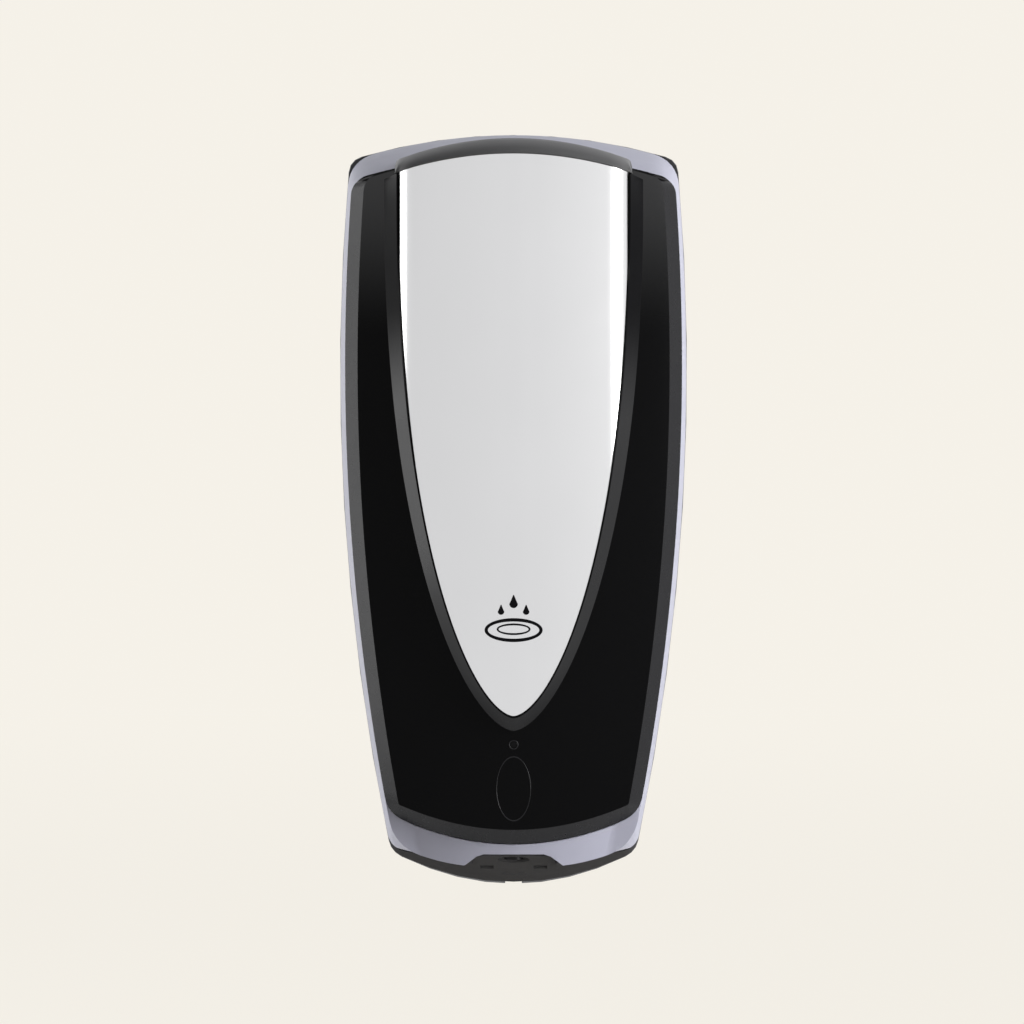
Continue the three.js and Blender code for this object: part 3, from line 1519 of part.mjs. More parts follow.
// An eye hangs from the sensor board into its slot in the base.
function eyeSolid(side) {
  const [wide, deep] = eyeBody;
  const x = side * eyeOffset;
  return block(
    [x - wide / 2, x + wide / 2],
    [eyeDepth - deep / 2, eyeDepth + deep / 2],
    [scoopAt(eyeDepth + eyeSlot[1] / 2) + eyeRecess, sensorBoardHeight - gap],
  );
}

// A pan-head screw along the depth axis, with its seat at the origin and its shank towards the wall.
function screwSolid(length) {
  const head = barAlongDepth([0, 0], screwHeadRadius, [gap, gap + screwHeadHeight], fewSides);
  const shank = barAlongDepth([0, 0], screwRadius, [-length, 2 * gap], fewSides);
  return join(head, shank);
}

const hingePinLength = lugOuter - earInner + 2 * hingePinOverhang;
const hingePinReach = [-hingePinLength / 2, hingePinLength / 2];
const hingePinSolid = () => barAcross([0, 0], hingePinRadius, hingePinReach, fewSides);

const axleSolid = (reach) => barAlongDepth([0, 0], axleRadius, reach, fewSides);

// Materials
const finish = (color, roughness, metalness) => ({ color, roughness, metalness });
const silverPlastic = finish(0xa3a5b4, 0.42, 0.15);
const glossBlack = finish(0x0b0b0d, 0.12, 0);
const brightSteel = finish(0xd8d8d8, 0.18, 1);
const greyPlastic = finish(0x4b4b49, 0.45, 0);
const capPlastic = finish(0x4e4e50, 0.35, 0);
const blackPlastic = finish(0x17171a, 0.5, 0);
const whitePlastic = finish(0xe6e6e2, 0.45, 0);
const whiteResin = finish(0xeeece4, 0.4, 0);
const clearResin = finish(0xc7d6dc, 0.2, 0);
const smokedResin = finish(0x15161a, 0.1, 0);
const lampResin = finish(0x4d4f57, 0.25, 0);
const greenBoard = finish(0x1f5a38, 0.5, 0);
const cellCase = finish(0x2b3a55, 0.35, 0.3);
const zincSteel = finish(0xb9bcc0, 0.35, 1);
const springSteel = finish(0x9a9da2, 0.3, 1);
const eyeResin = finish(0x0d0a10, 0.15, 0);

// Assembly: each group holds what moves together, and each mesh is one piece of the object.
const dispenser = new THREE.Group();

function group(...members) {
  const made = new THREE.Group();
  made.add(...members);
  dispenser.add(made);
  return made;
}

function piece(name, solid, material, [x, depth, z] = [0, 0, 0], turn = 0) {
  const { vertProperties, triVerts } = solid.getMesh();
  const geometry = new THREE.BufferGeometry();
  geometry.setAttribute("position", new THREE.BufferAttribute(new Float32Array(vertProperties), 3));
  geometry.setIndex(new THREE.BufferAttribute(new Uint32Array(triVerts), 1));
  geometry.computeVertexNormals();
  const mesh = new THREE.Mesh(geometry, new THREE.MeshStandardMaterial(material));
  mesh.name = name;
  mesh.position.set(x, -depth, z);
  mesh.rotation.z = turn;
  return mesh;
}

const sides = [["left", -1], ["right", 1]];

const screws = (name, places, seatDepth, length, turn = 0) => {
  return places.map(([x, z], i) => {
    return piece(name + "_screw_" + (i + 1), screwSolid(length), zincSteel, [x, seatDepth, z], turn);
  });
};

const shelfTabFront = backWall + gap + shelfTabWall;
const boardFront = backWall + controlBoardStandoff + gap + boardWall;
const tabScrewPlaces = tabPlaces.map(({ side, z }) => [side * tabScrewAt(z), z]);
const axleFoot = driveRear + driveWall / 2 + gap;

group(
  piece("back_plate", backPlateSolid(), blackPlastic),
  ...sides.map(([name, side]) => {
    const middle = (side * (earInner + lugOuter)) / 2;
    return piece("hinge_pin_" + name, hingePinSolid(), zincSteel, [middle, hingeDepth, hingeHeight]);
  }),
  piece("base_shroud", baseSolid(), greyPlastic),
  piece("refill_shelf", shelfSolid(), whitePlastic),
  piece("refill_bottle", bottleSolid(), clearResin),
  piece("bottle_closure", closureSolid(), whiteResin),
  piece("pump_body", pumpSolid(), whiteResin),
  piece("pump_spring", pumpSpringSolid(), springSteel),
);

group(
  piece("battery_tray", traySolid(), blackPlastic),
  piece("battery_contact_lower", contactSolid(stripLow), zincSteel),
  piece("battery_contact_upper", contactSolid(stripHigh), zincSteel),
  piece("battery_lid", batteryLidSolid(), blackPlastic),
  ...cellPlaces.map((x, i) => {
    return piece("battery_cell_" + (i + 1), cellSolid(), cellCase, [x, cellDepth, cellLow]);
  }),
);

group(
  piece("drive_housing_rear", driveRearSolid(), whitePlastic),
  piece("drive_housing_front", driveLidSolid(), whitePlastic),
  piece("drive_motor", motorSolid(), zincSteel, [motorPlace[0], 0, motorPlace[1]]),
  piece("output_axle", axleSolid([axleFoot, pinionRear + pinionWidth + wheelSpacing]), springSteel, [
    outputPlace[0],
    0,
    outputPlace[1],
  ]),
  piece("compound_axle", axleSolid([axleFoot, lidFront - driveLid / 3 - gap]), springSteel, [
    compoundPlace[0],
    0,
    compoundPlace[1],
  ]),
  ...screws("drive", driveScrewPlaces, lidFront, lidFront - screwTipDepth - gap),
);

group(
  piece("control_board", controlBoardSolid(), greenBoard),
  piece("sensor_board", sensorBoardSolid(), greenBoard),
  piece("sensor_emitter", eyeSolid(-1), eyeResin),
  piece("sensor_receiver", eyeSolid(1), eyeResin),
  ...screws("shelf", shelfScrewPlaces, shelfTabFront, shelfTabFront - screwTipDepth - gap),
  ...screws("base", baseScrewPlaces, baseRear + baseTabWall, screwLength),
  ...screws("board", boardScrewPlaces, boardFront, screwLength),
);

group(piece("output_gear", outputGearSolid(), whiteResin, [outputPlace[0], 0, outputPlace[1]]));
group(piece("compound_gear", compoundGearSolid(), whiteResin, [compoundPlace[0], 0, compoundPlace[1]]));
group(piece("motor_pinion", motorPinionSolid(), whiteResin, [motorPlace[0], 0, motorPlace[1]]));

group(
  piece("pump_carriage", carriageSolid(), blackPlastic),
  piece("pump_nozzle", nozzleSolid(), blackPlastic),
);

group(
  piece("latch_bar", latchSolid(), blackPlastic),
);

group(
  ...sides.flatMap(([name, side]) => {
    const place = [side * latchPostOffset, latchPostDepth, 0];
    return [
      piece("latch_post_" + name, latchPostSolid(), zincSteel, place),
      piece("latch_spring_" + name, latchSpringSolid(), springSteel, place),
    ];
  }),
);

group(
  piece("cover_shell", withLugsAndCatches(withTabs(coverSolid())), silverPlastic),
  piece("front_fascia", faceSolid(), glossBlack),
  piece("chrome_panel", panelSolid(), brightSteel),
  piece("top_cap", capSolid(), capPlastic),
  piece("level_window", windowSolid(), smokedResin),
  piece("indicator_lens", lampSolid(), lampResin),
  piece("indicator_board", lampBoardSolid(), greenBoard),
  ...screws("fascia", tabScrewPlaces, tabDepth - tabWall, screwLength, Math.PI),
);

export default dispenser;
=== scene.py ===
import json
import math
from itertools import chain

import bmesh
import bpy
from mathutils import Matrix, Vector


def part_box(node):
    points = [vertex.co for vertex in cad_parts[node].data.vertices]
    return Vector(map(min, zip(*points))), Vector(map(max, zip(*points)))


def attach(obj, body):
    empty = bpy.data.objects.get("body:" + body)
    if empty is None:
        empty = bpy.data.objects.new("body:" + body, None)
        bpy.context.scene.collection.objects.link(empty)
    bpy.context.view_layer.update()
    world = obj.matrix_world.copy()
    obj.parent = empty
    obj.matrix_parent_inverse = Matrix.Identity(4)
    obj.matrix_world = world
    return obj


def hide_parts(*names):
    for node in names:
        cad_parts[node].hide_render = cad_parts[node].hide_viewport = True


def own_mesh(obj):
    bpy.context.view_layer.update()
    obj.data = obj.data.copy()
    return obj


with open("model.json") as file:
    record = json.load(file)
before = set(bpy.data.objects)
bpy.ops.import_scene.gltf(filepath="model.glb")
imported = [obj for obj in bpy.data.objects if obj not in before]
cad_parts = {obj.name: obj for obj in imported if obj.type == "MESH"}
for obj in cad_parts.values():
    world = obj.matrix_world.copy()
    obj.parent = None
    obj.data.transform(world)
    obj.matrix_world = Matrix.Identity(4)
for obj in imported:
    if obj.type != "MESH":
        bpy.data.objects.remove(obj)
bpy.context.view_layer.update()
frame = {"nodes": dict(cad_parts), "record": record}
millimetre = 0.001

# Camera
# A long lens, level with the middle of the body and square to the wall, so that both sides show alike.
camera_distance = 1500.0
camera_plane_depth = 5.0
camera_sideways = -0.56
camera_height = -0.93
seen_width = 381.7  # at the plane that the distance is measured to
camera_data = bpy.data.cameras.new("camera")
camera_data.sensor_width = 36.0
camera_data.lens = camera_data.sensor_width * camera_distance / seen_width
camera_data.clip_start = 0.05
camera_data.clip_end = 50.0
camera = bpy.data.objects.new("camera", camera_data)
camera_depth = camera_distance + camera_plane_depth
camera.location = Vector((camera_sideways, -camera_depth, camera_height)) * millimetre
camera.rotation_euler = (math.radians(90), 0, 0)
bpy.context.scene.collection.objects.link(camera)
bpy.context.scene.camera = camera
bpy.context.scene.view_settings.view_transform = "Standard"

# Studio
# A pale sweep of paper under the object, a strong soft box on its right, and weak ones on its left, above
# and behind it. The camera sees the paper's own colour all round, and gloss a cooler one.
paper_colour = (0.915, 0.881, 0.811)
room_colour = (0.875, 0.875, 0.885)  # what gloss and glass see instead
floor_drop = 0.30
floor_size = 12.0
ambient_strength = 0.08
shadow_share = 0.045  # of the floor's look near the object that is its own lit surface
shadow_fade = (0.6, 4.5)  # metres from the middle over which that share goes
room_light_range = (0.93, 1.08)  # of the room's light, from its left side to its right


class Shade:
    """A value in a material's tree that adds and multiplies like a number."""

    def __init__(self, tree, socket):
        self.tree = tree
        self.socket = socket

    def node(self, kind, settings=None, inputs=None, output=0):
        made = self.tree.nodes.new("ShaderNode" + kind)
        for name, setting in (settings or {}).items():
            setattr(made, name, setting)
        for name, given in (inputs or {}).items():
            if isinstance(given, Shade):
                self.tree.links.new(given.socket, made.inputs[name])
            else:
                made.inputs[name].default_value = given
        return Shade(self.tree, made.outputs[output])

    def maths(self, operation, first, second):
        return self.node("Math", {"operation": operation}, {0: first, 1: second})

    def __add__(self, other):
        return self.maths("ADD", self, other)

    def __sub__(self, other):
        return self.maths("SUBTRACT", self, other)

    def __rsub__(self, other):
        return self.maths("SUBTRACT", other, self)

    def __mul__(self, other):
        return self.maths("MULTIPLY", self, other)

    __radd__ = __add__
    __rmul__ = __mul__

    def size(self):
        return self.node("Math", {"operation": "ABSOLUTE"}, {0: self})

    def rise(self, low, high):
        """0 below one value, 1 above another and a smooth rise between them."""
        ranged = {"interpolation_type": "SMOOTHSTEP"}
        return self.node("MapRange", ranged, {"Value": self, "From Min": low, "From Max": high})

    def noise(self, grain_mm, detail=2.0, stretch=(1, 1, 1)):
        """Noise of a grain size over a place in millimetres, from 0 to 1."""
        scale = [s / grain_mm for s in stretch]
        scaled = self.node("VectorMath", {"operation": "MULTIPLY"}, {0: self, 1: scale})
        return self.node("TexNoise", {}, {"Vector": scaled, "Scale": 1.0, "Detail": detail})

    def tint(self, start, end):
        """The colour between two as this value goes from 0 to 1."""
        colours = {6: start if isinstance(start, Shade) else (*start, 1),
                   7: end if isinstance(end, Shade) else (*end, 1)}
        return self.node("Mix", {"data_type": "RGBA"}, {0: self, **colours}, output=2)

    def axis(self, letter):
        return self.node("SeparateXYZ", {}, {0: self}, output="XYZ".index(letter))


def pale_where_seen(tree, lit_shader, output, near_share=0.0, side_light=1.0):
    """A pale colour for whatever is seen straight, in gloss or through glass, and a lit shader else.
    A share of the lit shader, which carries the shadows, stays near the object and fades with distance.
    The pale colour is as bright as the side light says, except where it is seen straight."""
    path = tree.nodes.new("ShaderNodeLightPath")
    straight, gloss, through = (
        Shade(tree, path.outputs[f"Is {kind} Ray"]) for kind in ("Camera", "Glossy", "Transmission")
    )
    seen = straight.node("Math", {"operation": "ADD", "use_clamp": True}, {0: straight, 1: gloss + through})
    strength = straight.node("Mix", {}, {0: straight, 2: side_light, 3: 1.0})
    kind = "Background" if "Background" in tree.nodes else "Emission"
    pale = seen.node(kind, {}, {"Color": straight.tint(room_colour, paper_colour), "Strength": strength})
    place = Shade(tree, tree.nodes.new("ShaderNodeTexCoord").outputs["Object"])
    away = place.node("VectorMath", {"operation": "LENGTH"}, {0: place}, output="Value")
    share = seen * (away.rise(*shadow_fade) * near_share + (1 - near_share))
    mix = seen.node("MixShader", {}, {0: share, 1: Shade(tree, lit_shader.outputs[0]), 2: pale})
    tree.links.new(mix.socket, output.inputs["Surface"])


world = bpy.data.worlds.new("studio")
world.use_nodes = True
bpy.context.scene.world = world
tree = world.node_tree
ambient = tree.nodes["Background"]
ambient.inputs["Color"].default_value = (1, 1, 1, 1)
ambient.inputs["Strength"].default_value = ambient_strength
sideways = Shade(tree, tree.nodes.new("ShaderNodeTexCoord").outputs["Generated"]).axis("X")
to_low, to_high = room_light_range
ranges = {"Value": sideways, "From Min": -0.5, "From Max": 0.5, "To Min": to_low, "To Max": to_high}
side_light = sideways.node("MapRange", {}, ranges)
pale_where_seen(tree, ambient, tree.nodes["World Output"], side_light=side_light)

floor_mesh = bpy.data.meshes.new("paper_floor")
floor_form = bmesh.new()
bmesh.ops.create_grid(floor_form, x_segments=8, y_segments=8, size=floor_size / 2)
bmesh.ops.translate(floor_form, verts=floor_form.verts, vec=(0, 0, -floor_drop))
floor_form.to_mesh(floor_mesh)
floor_form.free()
floor = bpy.data.objects.new("paper_floor", floor_mesh)
bpy.context.scene.collection.objects.link(floor)
paper = bpy.data.materials.new("paper")
paper.use_nodes = True
paper_surface = paper.node_tree.nodes["Principled BSDF"]
paper_surface.inputs["Base Color"].default_value = (*paper_colour, 1)
paper_surface.inputs["Roughness"].default_value = 0.9
pale_where_seen(paper.node_tree, paper_surface, paper.node_tree.nodes["Material Output"], shadow_share)
floor_mesh.materials.append(paper)

soft_boxes = [
    # name, place, size, power
    ("left_box", (-1.19, 0.1, 0.1), (0.45, 1.4), 4.6),
    ("right_box", (1.14, -0.62, 0.33), (0.7, 1.2), 20.0),
    ("top_box", (0.5, -0.3, 1.2), (1.0, 0.6), 2.0),
    ("rear_box", (-1.0, 0.85, 0.0), (0.8, 1.2), 8.0),
]
soft_box_aim = Vector((0, -0.05, 0))
for name, place, size, power in soft_boxes:
    light = bpy.data.lights.new(name, "AREA")
    light.shape = "RECTANGLE"
    light.size, light.size_y = size
    light.energy = power
    lamp = bpy.data.objects.new(name, light)
    lamp.location = place
    lamp.visible_camera = False
    lamp.rotation_euler = (soft_box_aim - Vector(place)).to_track_quat("-Z", "Y").to_euler()
    bpy.context.scene.collection.objects.link(lamp)

# Cover
# The big moulded shell that closes over the works and hinges up at its top, in satin silver plastic. Its
# side walls lean and bow, its roof falls to the front, and only a narrow chin crosses below the face.
height = 280.0
width = 129.8
top = height / 2
bottom = -height / 2
gap = 0.3
seam = 0.5
edge_depth = 83.0  # of the front edge of the walls
face_depth = 88.0
face_radius = 141.0  # across
face_roll = (85.0, 40.5, 5.0)  # where its top starts to lean back, over what height and by how much
face_foot_radius = 97.0
side_lean = 0.068  # inwards for each step forward
side_radius = 850.0
widest_height = 52.0
roof_fall = 14.5
roof_bend = 1.3
roof_radii = (200.0, 150.0)  # at the wall and at the front edge
floor_rise = 0.17
floor_radii = (86.0, 125.0)
cover_corner = 9.0
low_corner = 4.0
face_corner = 5.0
face_low_corner = 6.0
chin_corner = 9.0
chin_fullness = 1.5  # of its lower edge below the floor, where it is fullest
chin_fullest = 24.0
cover_rear = 9.6
cover_wall = 2.4
rear_chamfer = 1.3
skirt_height = -121.5
bevel_depth = 5.0
side_bevel = 4.6
bottom_bevel = 5.3
chin_band = 7.4


def sag(across, radius):
    return across ** 2 / (2 * radius)


def blend(start, end, share):
    return start + (end - start) * share


def side_at(z, depth):
    return width / 2 - side_lean * depth - sag(z - widest_height, side_radius)


def roof_at(x, depth):
    share = max(depth, 0) / edge_depth
    return top - roof_fall * share ** roof_bend - sag(x, blend(*roof_radii, share))


def floor_at(x, depth):
    return bottom + floor_rise * depth + sag(x, blend(*floor_radii, depth / edge_depth))


def face_at(x, z):
    start, reach, lean = face_roll
    return face_depth - sag(x, face_radius) - lean * (max(0, z - start) / reach) ** 2


def bevel_side_at(z):
    side = side_at(z, edge_depth)
    for _ in range(4):
        side = side_at(z, face_at(side - side_bevel, z) - bevel_depth)
    return side


def face_top_at(x):
    z = roof_at(x, edge_depth)
    for _ in range(4):
        z = roof_at(x, face_at(x, z))
    return z


face_bottom = floor_at(0, edge_depth) + chin_band + gap


def face_bottom_at(x):
    return face_bottom + sag(x, face_foot_radius)


side_steps = 96
end_steps = 28
arc_steps = 8
rough_steps, wall_steps = 24, 48  # of a path before its places are set at even distances


def evenly(path, steps):
    """Places at even distances along a path, its two ends included."""
    lengths = [math.dist(a, b) for a, b in zip(path, path[1:])]
    spacing = sum(lengths) / steps
    places, walked, k = [path[0]], 0.0, 0
    for step in range(1, steps):
        while walked + lengths[k] < step * spacing:
            walked += lengths[k]
            k += 1
        share = (step * spacing - walked) / lengths[k]
        places.append([blend(a, b, share) for a, b in zip(path[k], path[k + 1])])
    return places + [path[-1]]


def both_halves(bottom_path, side_path, top_path, turn=0):
    """A closed outline from its right half, as (x, z, how much it belongs to the top), from the foot up.
    The last places of the side, as many as the turn, pass gradually over to the top."""
    half = [(*place, 0) for place in evenly(bottom_path, end_steps)]
    still = len(side_path) - 1 - turn
    half += [(*place, max(k - still, 0) / max(turn, 1)) for k, place in enumerate(side_path)][1:]
    half += [(*place, 1) for place in evenly(top_path, end_steps)[1:]]
    return half + [(-x, z, share) for x, z, share in reversed(half[1:-1])]


def corner_arc(start, corner, end):
    """A rounded corner that leaves one edge and joins the next smoothly."""
    shares = [k / arc_steps for k in range(arc_steps + 1)]
    return [
        [blend(blend(s, c, t), blend(c, e, t), t) for s, c, e in zip(start, corner, end)] for t in shares
    ]


def outline(side, roof, floor, top_corner, bottom_corner):
    """The closed outline between two sides, a roof and a floor, with its corners rounded."""
    low_x = high_x = side(0)
    for _ in range(8):
        low_x = side(floor(low_x))
        high_x = side(roof(high_x))
    low, high = (low_x, floor(low_x)), (high_x, roof(high_x))
    foot_x, head_x = low_x - bottom_corner, high_x - top_corner
    foot_z, head_z = low[1] + bottom_corner, high[1] - top_corner
    parts = [k / rough_steps for k in range(rough_steps + 1)]
    bottom_path = [(foot_x * part, floor(foot_x * part)) for part in parts]
    foot_arc = corner_arc((foot_x, floor(foot_x)), low, (side(foot_z), foot_z))
    head_arc = corner_arc((side(head_z), head_z), high, (head_x, roof(head_x)))
    heights = [blend(foot_z, head_z, k / wall_steps) for k in range(wall_steps + 1)]
    wall = evenly([(side(z), z) for z in heights], side_steps - 2 * arc_steps)[1:-1]
    top_path = [(head_x * part, roof(head_x * part)) for part in reversed(parts)]
    return both_halves(bottom_path, foot_arc + wall + head_arc, top_path, 3)


def section(depth, inset=0.0):
    """The body's outline at one depth, drawn in by an inset, as places in space."""
    shape = outline(
        lambda z: side_at(z, depth) - inset,
        lambda x: roof_at(x, depth) - inset,
        lambda x: floor_at(x, depth) + inset,
        max(cover_corner - inset, cover_corner / 3),
        low_corner - min(inset, low_corner / 2),
    )
    return [(x, -depth, z) for x, z, _ in shape]


def face_outline(side_inset, floor_inset, top_inset, foot=face_bottom_at, bottom_corner=face_low_corner):
    return outline(
        lambda z: bevel_side_at(z) - side_inset,
        lambda x: face_top_at(x) - top_inset,
        lambda x: foot(x) + floor_inset,
        face_corner,
        bottom_corner,
    )


sharp_corner = 0.6
bevel_inner = face_outline(side_bevel, bottom_bevel, gap, bottom_corner=sharp_corner)


def edge_ring(shape, top_back, back=0.0):
    """The face's edge at each place of an outline: the foot of the bevel, or the face itself at the top."""
    return [
        (x, blend(bevel_depth, top_back, share) + back - face_at(inner_x, inner_z), z)
        for (x, z, share), (inner_x, inner_z, _) in zip(shape, bevel_inner)
    ]


def lay(form, rows):
    """A grid laid through rows of places."""
    across, along = len(rows[0]) - 1, len(rows) - 1
    made = bmesh.ops.create_grid(form, x_segments=across, y_segments=along, size=1)["verts"]
    for vert, place in zip(made, chain.from_iterable(rows)):
        vert.co = Vector(place) * millimetre
    return made


def wrap(form, rings, closed_across=False, looks=()):
    """A grid laid through rings of places and joined where its edges meet, with a look for each strip."""
    rows = [[*ring, ring[0]] for ring in rings + rings[:int(closed_across)]]
    made = lay(form, rows)
    if looks:
        form.verts.index_update()
        for face in form.faces:
            face.material_index = looks[min(vert.index for vert in face.verts) // len(rows[0])]
    bmesh.ops.remove_doubles(form, verts=made, dist=1e-6)


def about(middle, half):
    return middle - half, middle + half


def box(form, across, depths, heights, bevel=0.0):
    """A block between two places each way, with its edges rounded."""
    spans = [across, (-depths[1], -depths[0]), heights]
    made = bmesh.ops.create_cube(form, size=1)["verts"]
    for vert in made:
        vert.co = [blend(low, high, share + 0.5) * millimetre for (low, high), share in zip(spans, vert.co)]
    if bevel:
        edges = list({edge for vert in made for edge in vert.link_edges})
        bmesh.ops.bevel(form, geom=edges, offset=bevel * millimetre, segments=2, profile=0.5,
                        affect="EDGES", material=-1)


def bar(form, place, radii, span, axis="Y", sides=32, bevel=0.0):
    """A round bar about a place, between two distances along an axis, with a radius at each end."""
    low, high = sorted(span)
    middle = (low + high) / 2
    made = bmesh.ops.create_cone(form, cap_ends=True, segments=sides, radius1=radii[0] * millimetre,
                                 radius2=radii[1] * millimetre, depth=(high - low) * millimetre)["verts"]
    turn, centre = {
        "X": (Matrix.Rotation(math.pi / 2, 3, "Y"), (middle, -place[0], place[1])),
        "Y": (Matrix.Rotation(math.pi / 2, 3, "X"), (place[0], -middle, place[1])),
        "Z": (Matrix.Identity(3), (place[0], -place[1], middle)),
    }[axis]
    bmesh.ops.rotate(form, verts=made, cent=(0, 0, 0), matrix=turn)
    bmesh.ops.translate(form, verts=made, vec=Vector(centre) * millimetre)
    if bevel:
        square = math.radians(52)
        rims = [edge for edge in {edge for vert in made for edge in vert.link_edges}
                if edge.is_manifold and edge.calc_face_angle() > square]
        bmesh.ops.bevel(form, geom=rims, offset=bevel * millimetre, segments=3, profile=0.5,
                        affect="EDGES", material=-1)


def piece(name, form, body, material, replaced=(), sharp=32.0, turn_out=True):
    """An object from a bmesh, smooth but for its sharp edges, on a body and in place of its CAD nodes."""
    if turn_out:
        bmesh.ops.recalc_face_normals(form, faces=form.faces)
    for face in form.faces:
        face.smooth = True
    for edge in form.edges:
        one_look = len({face.material_index for face in edge.link_faces}) == 1
        edge.smooth = edge.is_manifold and one_look and edge.calc_face_angle() < math.radians(sharp)
    mesh = bpy.data.meshes.new(name)
    form.to_mesh(mesh)
    form.free()
    mesh.materials.append(material)
    made = bpy.data.objects.new(name, mesh)
    bpy.context.scene.collection.objects.link(made)
    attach(made, body)
    if replaced:
        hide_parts(*replaced)
    return made


def finish_edges(made, width_mm, segments=3, angle=32.0):
    """A fine moulded radius on a piece's sharp edges."""
    modifier = made.modifiers.new("edges", "BEVEL")
    modifier.width = width_mm * millimetre
    modifier.segments = segments
    modifier.limit_method = "ANGLE"
    modifier.angle_limit = math.radians(angle)


def rgb(code):
    """A colour from its screen code, as light."""
    parts = [int(code[k:k + 2], 16) / 255 for k in (0, 2, 4)]
    return tuple(p / 12.92 if p <= 0.04045 else ((p + 0.055) / 1.055) ** 2.4 for p in parts)


def shader(name, **constant):
    """A new material: it, its surface shader and the place on the piece in millimetres."""
    made = bpy.data.materials.new(name)
    made.use_nodes = True
    tree = made.node_tree
    surface = tree.nodes["Principled BSDF"]
    for key, value in constant.items():
        surface.inputs[key.replace("_", " ").title().replace("Ior", "IOR")].default_value = value
    corner = tree.nodes.new("ShaderNodeTexCoord")
    place = Shade(tree, corner.outputs["Object"])
    return made, surface, place.node("VectorMath", {"operation": "SCALE"}, {0: place, "Scale": 1000.0})


def feed(surface, socket, value):
    value.tree.links.new(value.socket, surface.inputs[socket])


def relief(surface, height, depth_mm):
    """Raises a surface by a height from 0 to 1, over a depth."""
    bump = height.node("Bump", {}, {"Height": height, "Strength": 1.0, "Distance": depth_mm * millimetre})
    feed(surface, "Normal", bump)


def moulded(name, colour, roughness, grain_mm=0.35, grain_depth=0.004, shift=0.06, dust=0.0, coat=None,
            **constant):
    """Moulded plastic: a fine grain, slow drifts of colour and gloss, and dust on what looks up.
    A coat sets in between two heights."""
    made, surface, place = shader(name, **constant)
    base = rgb(colour)
    drift = place.noise(38, 3)
    painted = drift.tint([c * (1 - shift) for c in base], [min(c * (1 + shift), 1) for c in base])
    if dust:
        up = place.node("NewGeometry", output=1).axis("Z").rise(0.55, 1.0)
        painted = (up * place.noise(9, 4).rise(0.4, 0.75) * dust).tint(painted, rgb("7c7c80"))
    feed(surface, "Base Color", painted)
    feed(surface, "Roughness", roughness + (place.noise(6, 3) - 0.5) * roughness * 0.3)
    relief(surface, place.noise(grain_mm, 2), grain_depth)
    if coat:
        feed(surface, "Coat Weight", place.axis("Z").rise(*coat))
    return made


silver_plastic = moulded("satin_silver_plastic", "b4b5c6", 0.4, shift=0.03, dust=0.04,
                         specular_ior_level=0.12)

wall_depths = (cover_rear + rear_chamfer, 16, 21, 30, 40, 50, 60)
front_strip = 2.9  # from the last ring but one to the front edge
front_edge_back = 2.6  # of the walls' front edge behind the face at the top
chin_foot = floor_at(0, edge_depth)
chin_wall = 1.9
notch_height = 3.9
notch_half_top = 12.0
notch_half_foot = 17.25
notch_shoulder = 1.4
notch_rear = 60.0
notch_head = (0, 0, chin_foot + notch_height)


def blend_places(a, b, share):
    return tuple(blend(p, q, share) for p, q in zip(a, b))


def blend_rings(a, b, share):
    return [blend_places(p, q, share) for p, q in zip(a, b)]


def faces_where(form, test):
    return [face for face in form.faces if test(*(face.calc_center_median() / millimetre))]


def slice_faces(form, faces, place, normal):
    """Cuts some of the faces along a plane, in millimetres, and leaves both sides."""
    around = {*faces, *chain.from_iterable((*face.edges, *face.verts) for face in faces)}
    bmesh.ops.bisect_plane(form, geom=list(around), plane_co=Vector(place) * millimetre, plane_no=normal)


def chin_edge_at(x):
    """The height of the chin's lower edge, a little fuller than the floor on each side of the notch."""
    share = max(1 - (abs(x) / chin_fullest - 1) ** 2, 0)
    return floor_at(x, edge_depth) - chin_fullness * share


cover_foot = face_outline(0, 0, 0, foot=chin_edge_at, bottom_corner=chin_corner)
cover_front = edge_ring(cover_foot, front_edge_back, seam)
flange = edge_ring(face_outline(cover_wall, -gap, cover_wall), front_edge_back, seam)
rings = [section(cover_rear, rear_chamfer), *map(section, wall_depths)]
near_front = [blend_places(a, b, 1 - front_strip / (a[1] - b[1])) for a, b in zip(rings[-1], cover_front)]
rings += [blend_rings(rings[-1], near_front, 0.5), near_front, cover_front, flange]
form = bmesh.new()
wrap(form, rings)
up = Vector((0, 0, 1))
slope = Vector((notch_height, 0, notch_half_foot - notch_half_top)).normalized()


def below_skirt(x, y, z, margin=0.0):
    """Behind the chin and below the foot of the side walls."""
    behind_chin = -y < face_at(x, face_bottom) - bevel_depth - seam - chin_wall
    return behind_chin and z < skirt_height + margin


def near_notch(x, y, z):
    return abs(x) < notch_half_foot + 4 and z < notch_head[2] + 2


def in_notch(x, y, z):
    """Inside the notch's top, its two slopes and the shoulders between them."""
    below = notch_head[2] - z
    sloped = notch_half_top + below * (notch_half_foot - notch_half_top) / notch_height - abs(x)
    turn = (slope + up).normalized()
    cut_corner = turn.x * (notch_half_top - notch_shoulder - abs(x)) + turn.z * below
    return below > 0 and sloped > 0 and cut_corner > 0 and -y > notch_rear


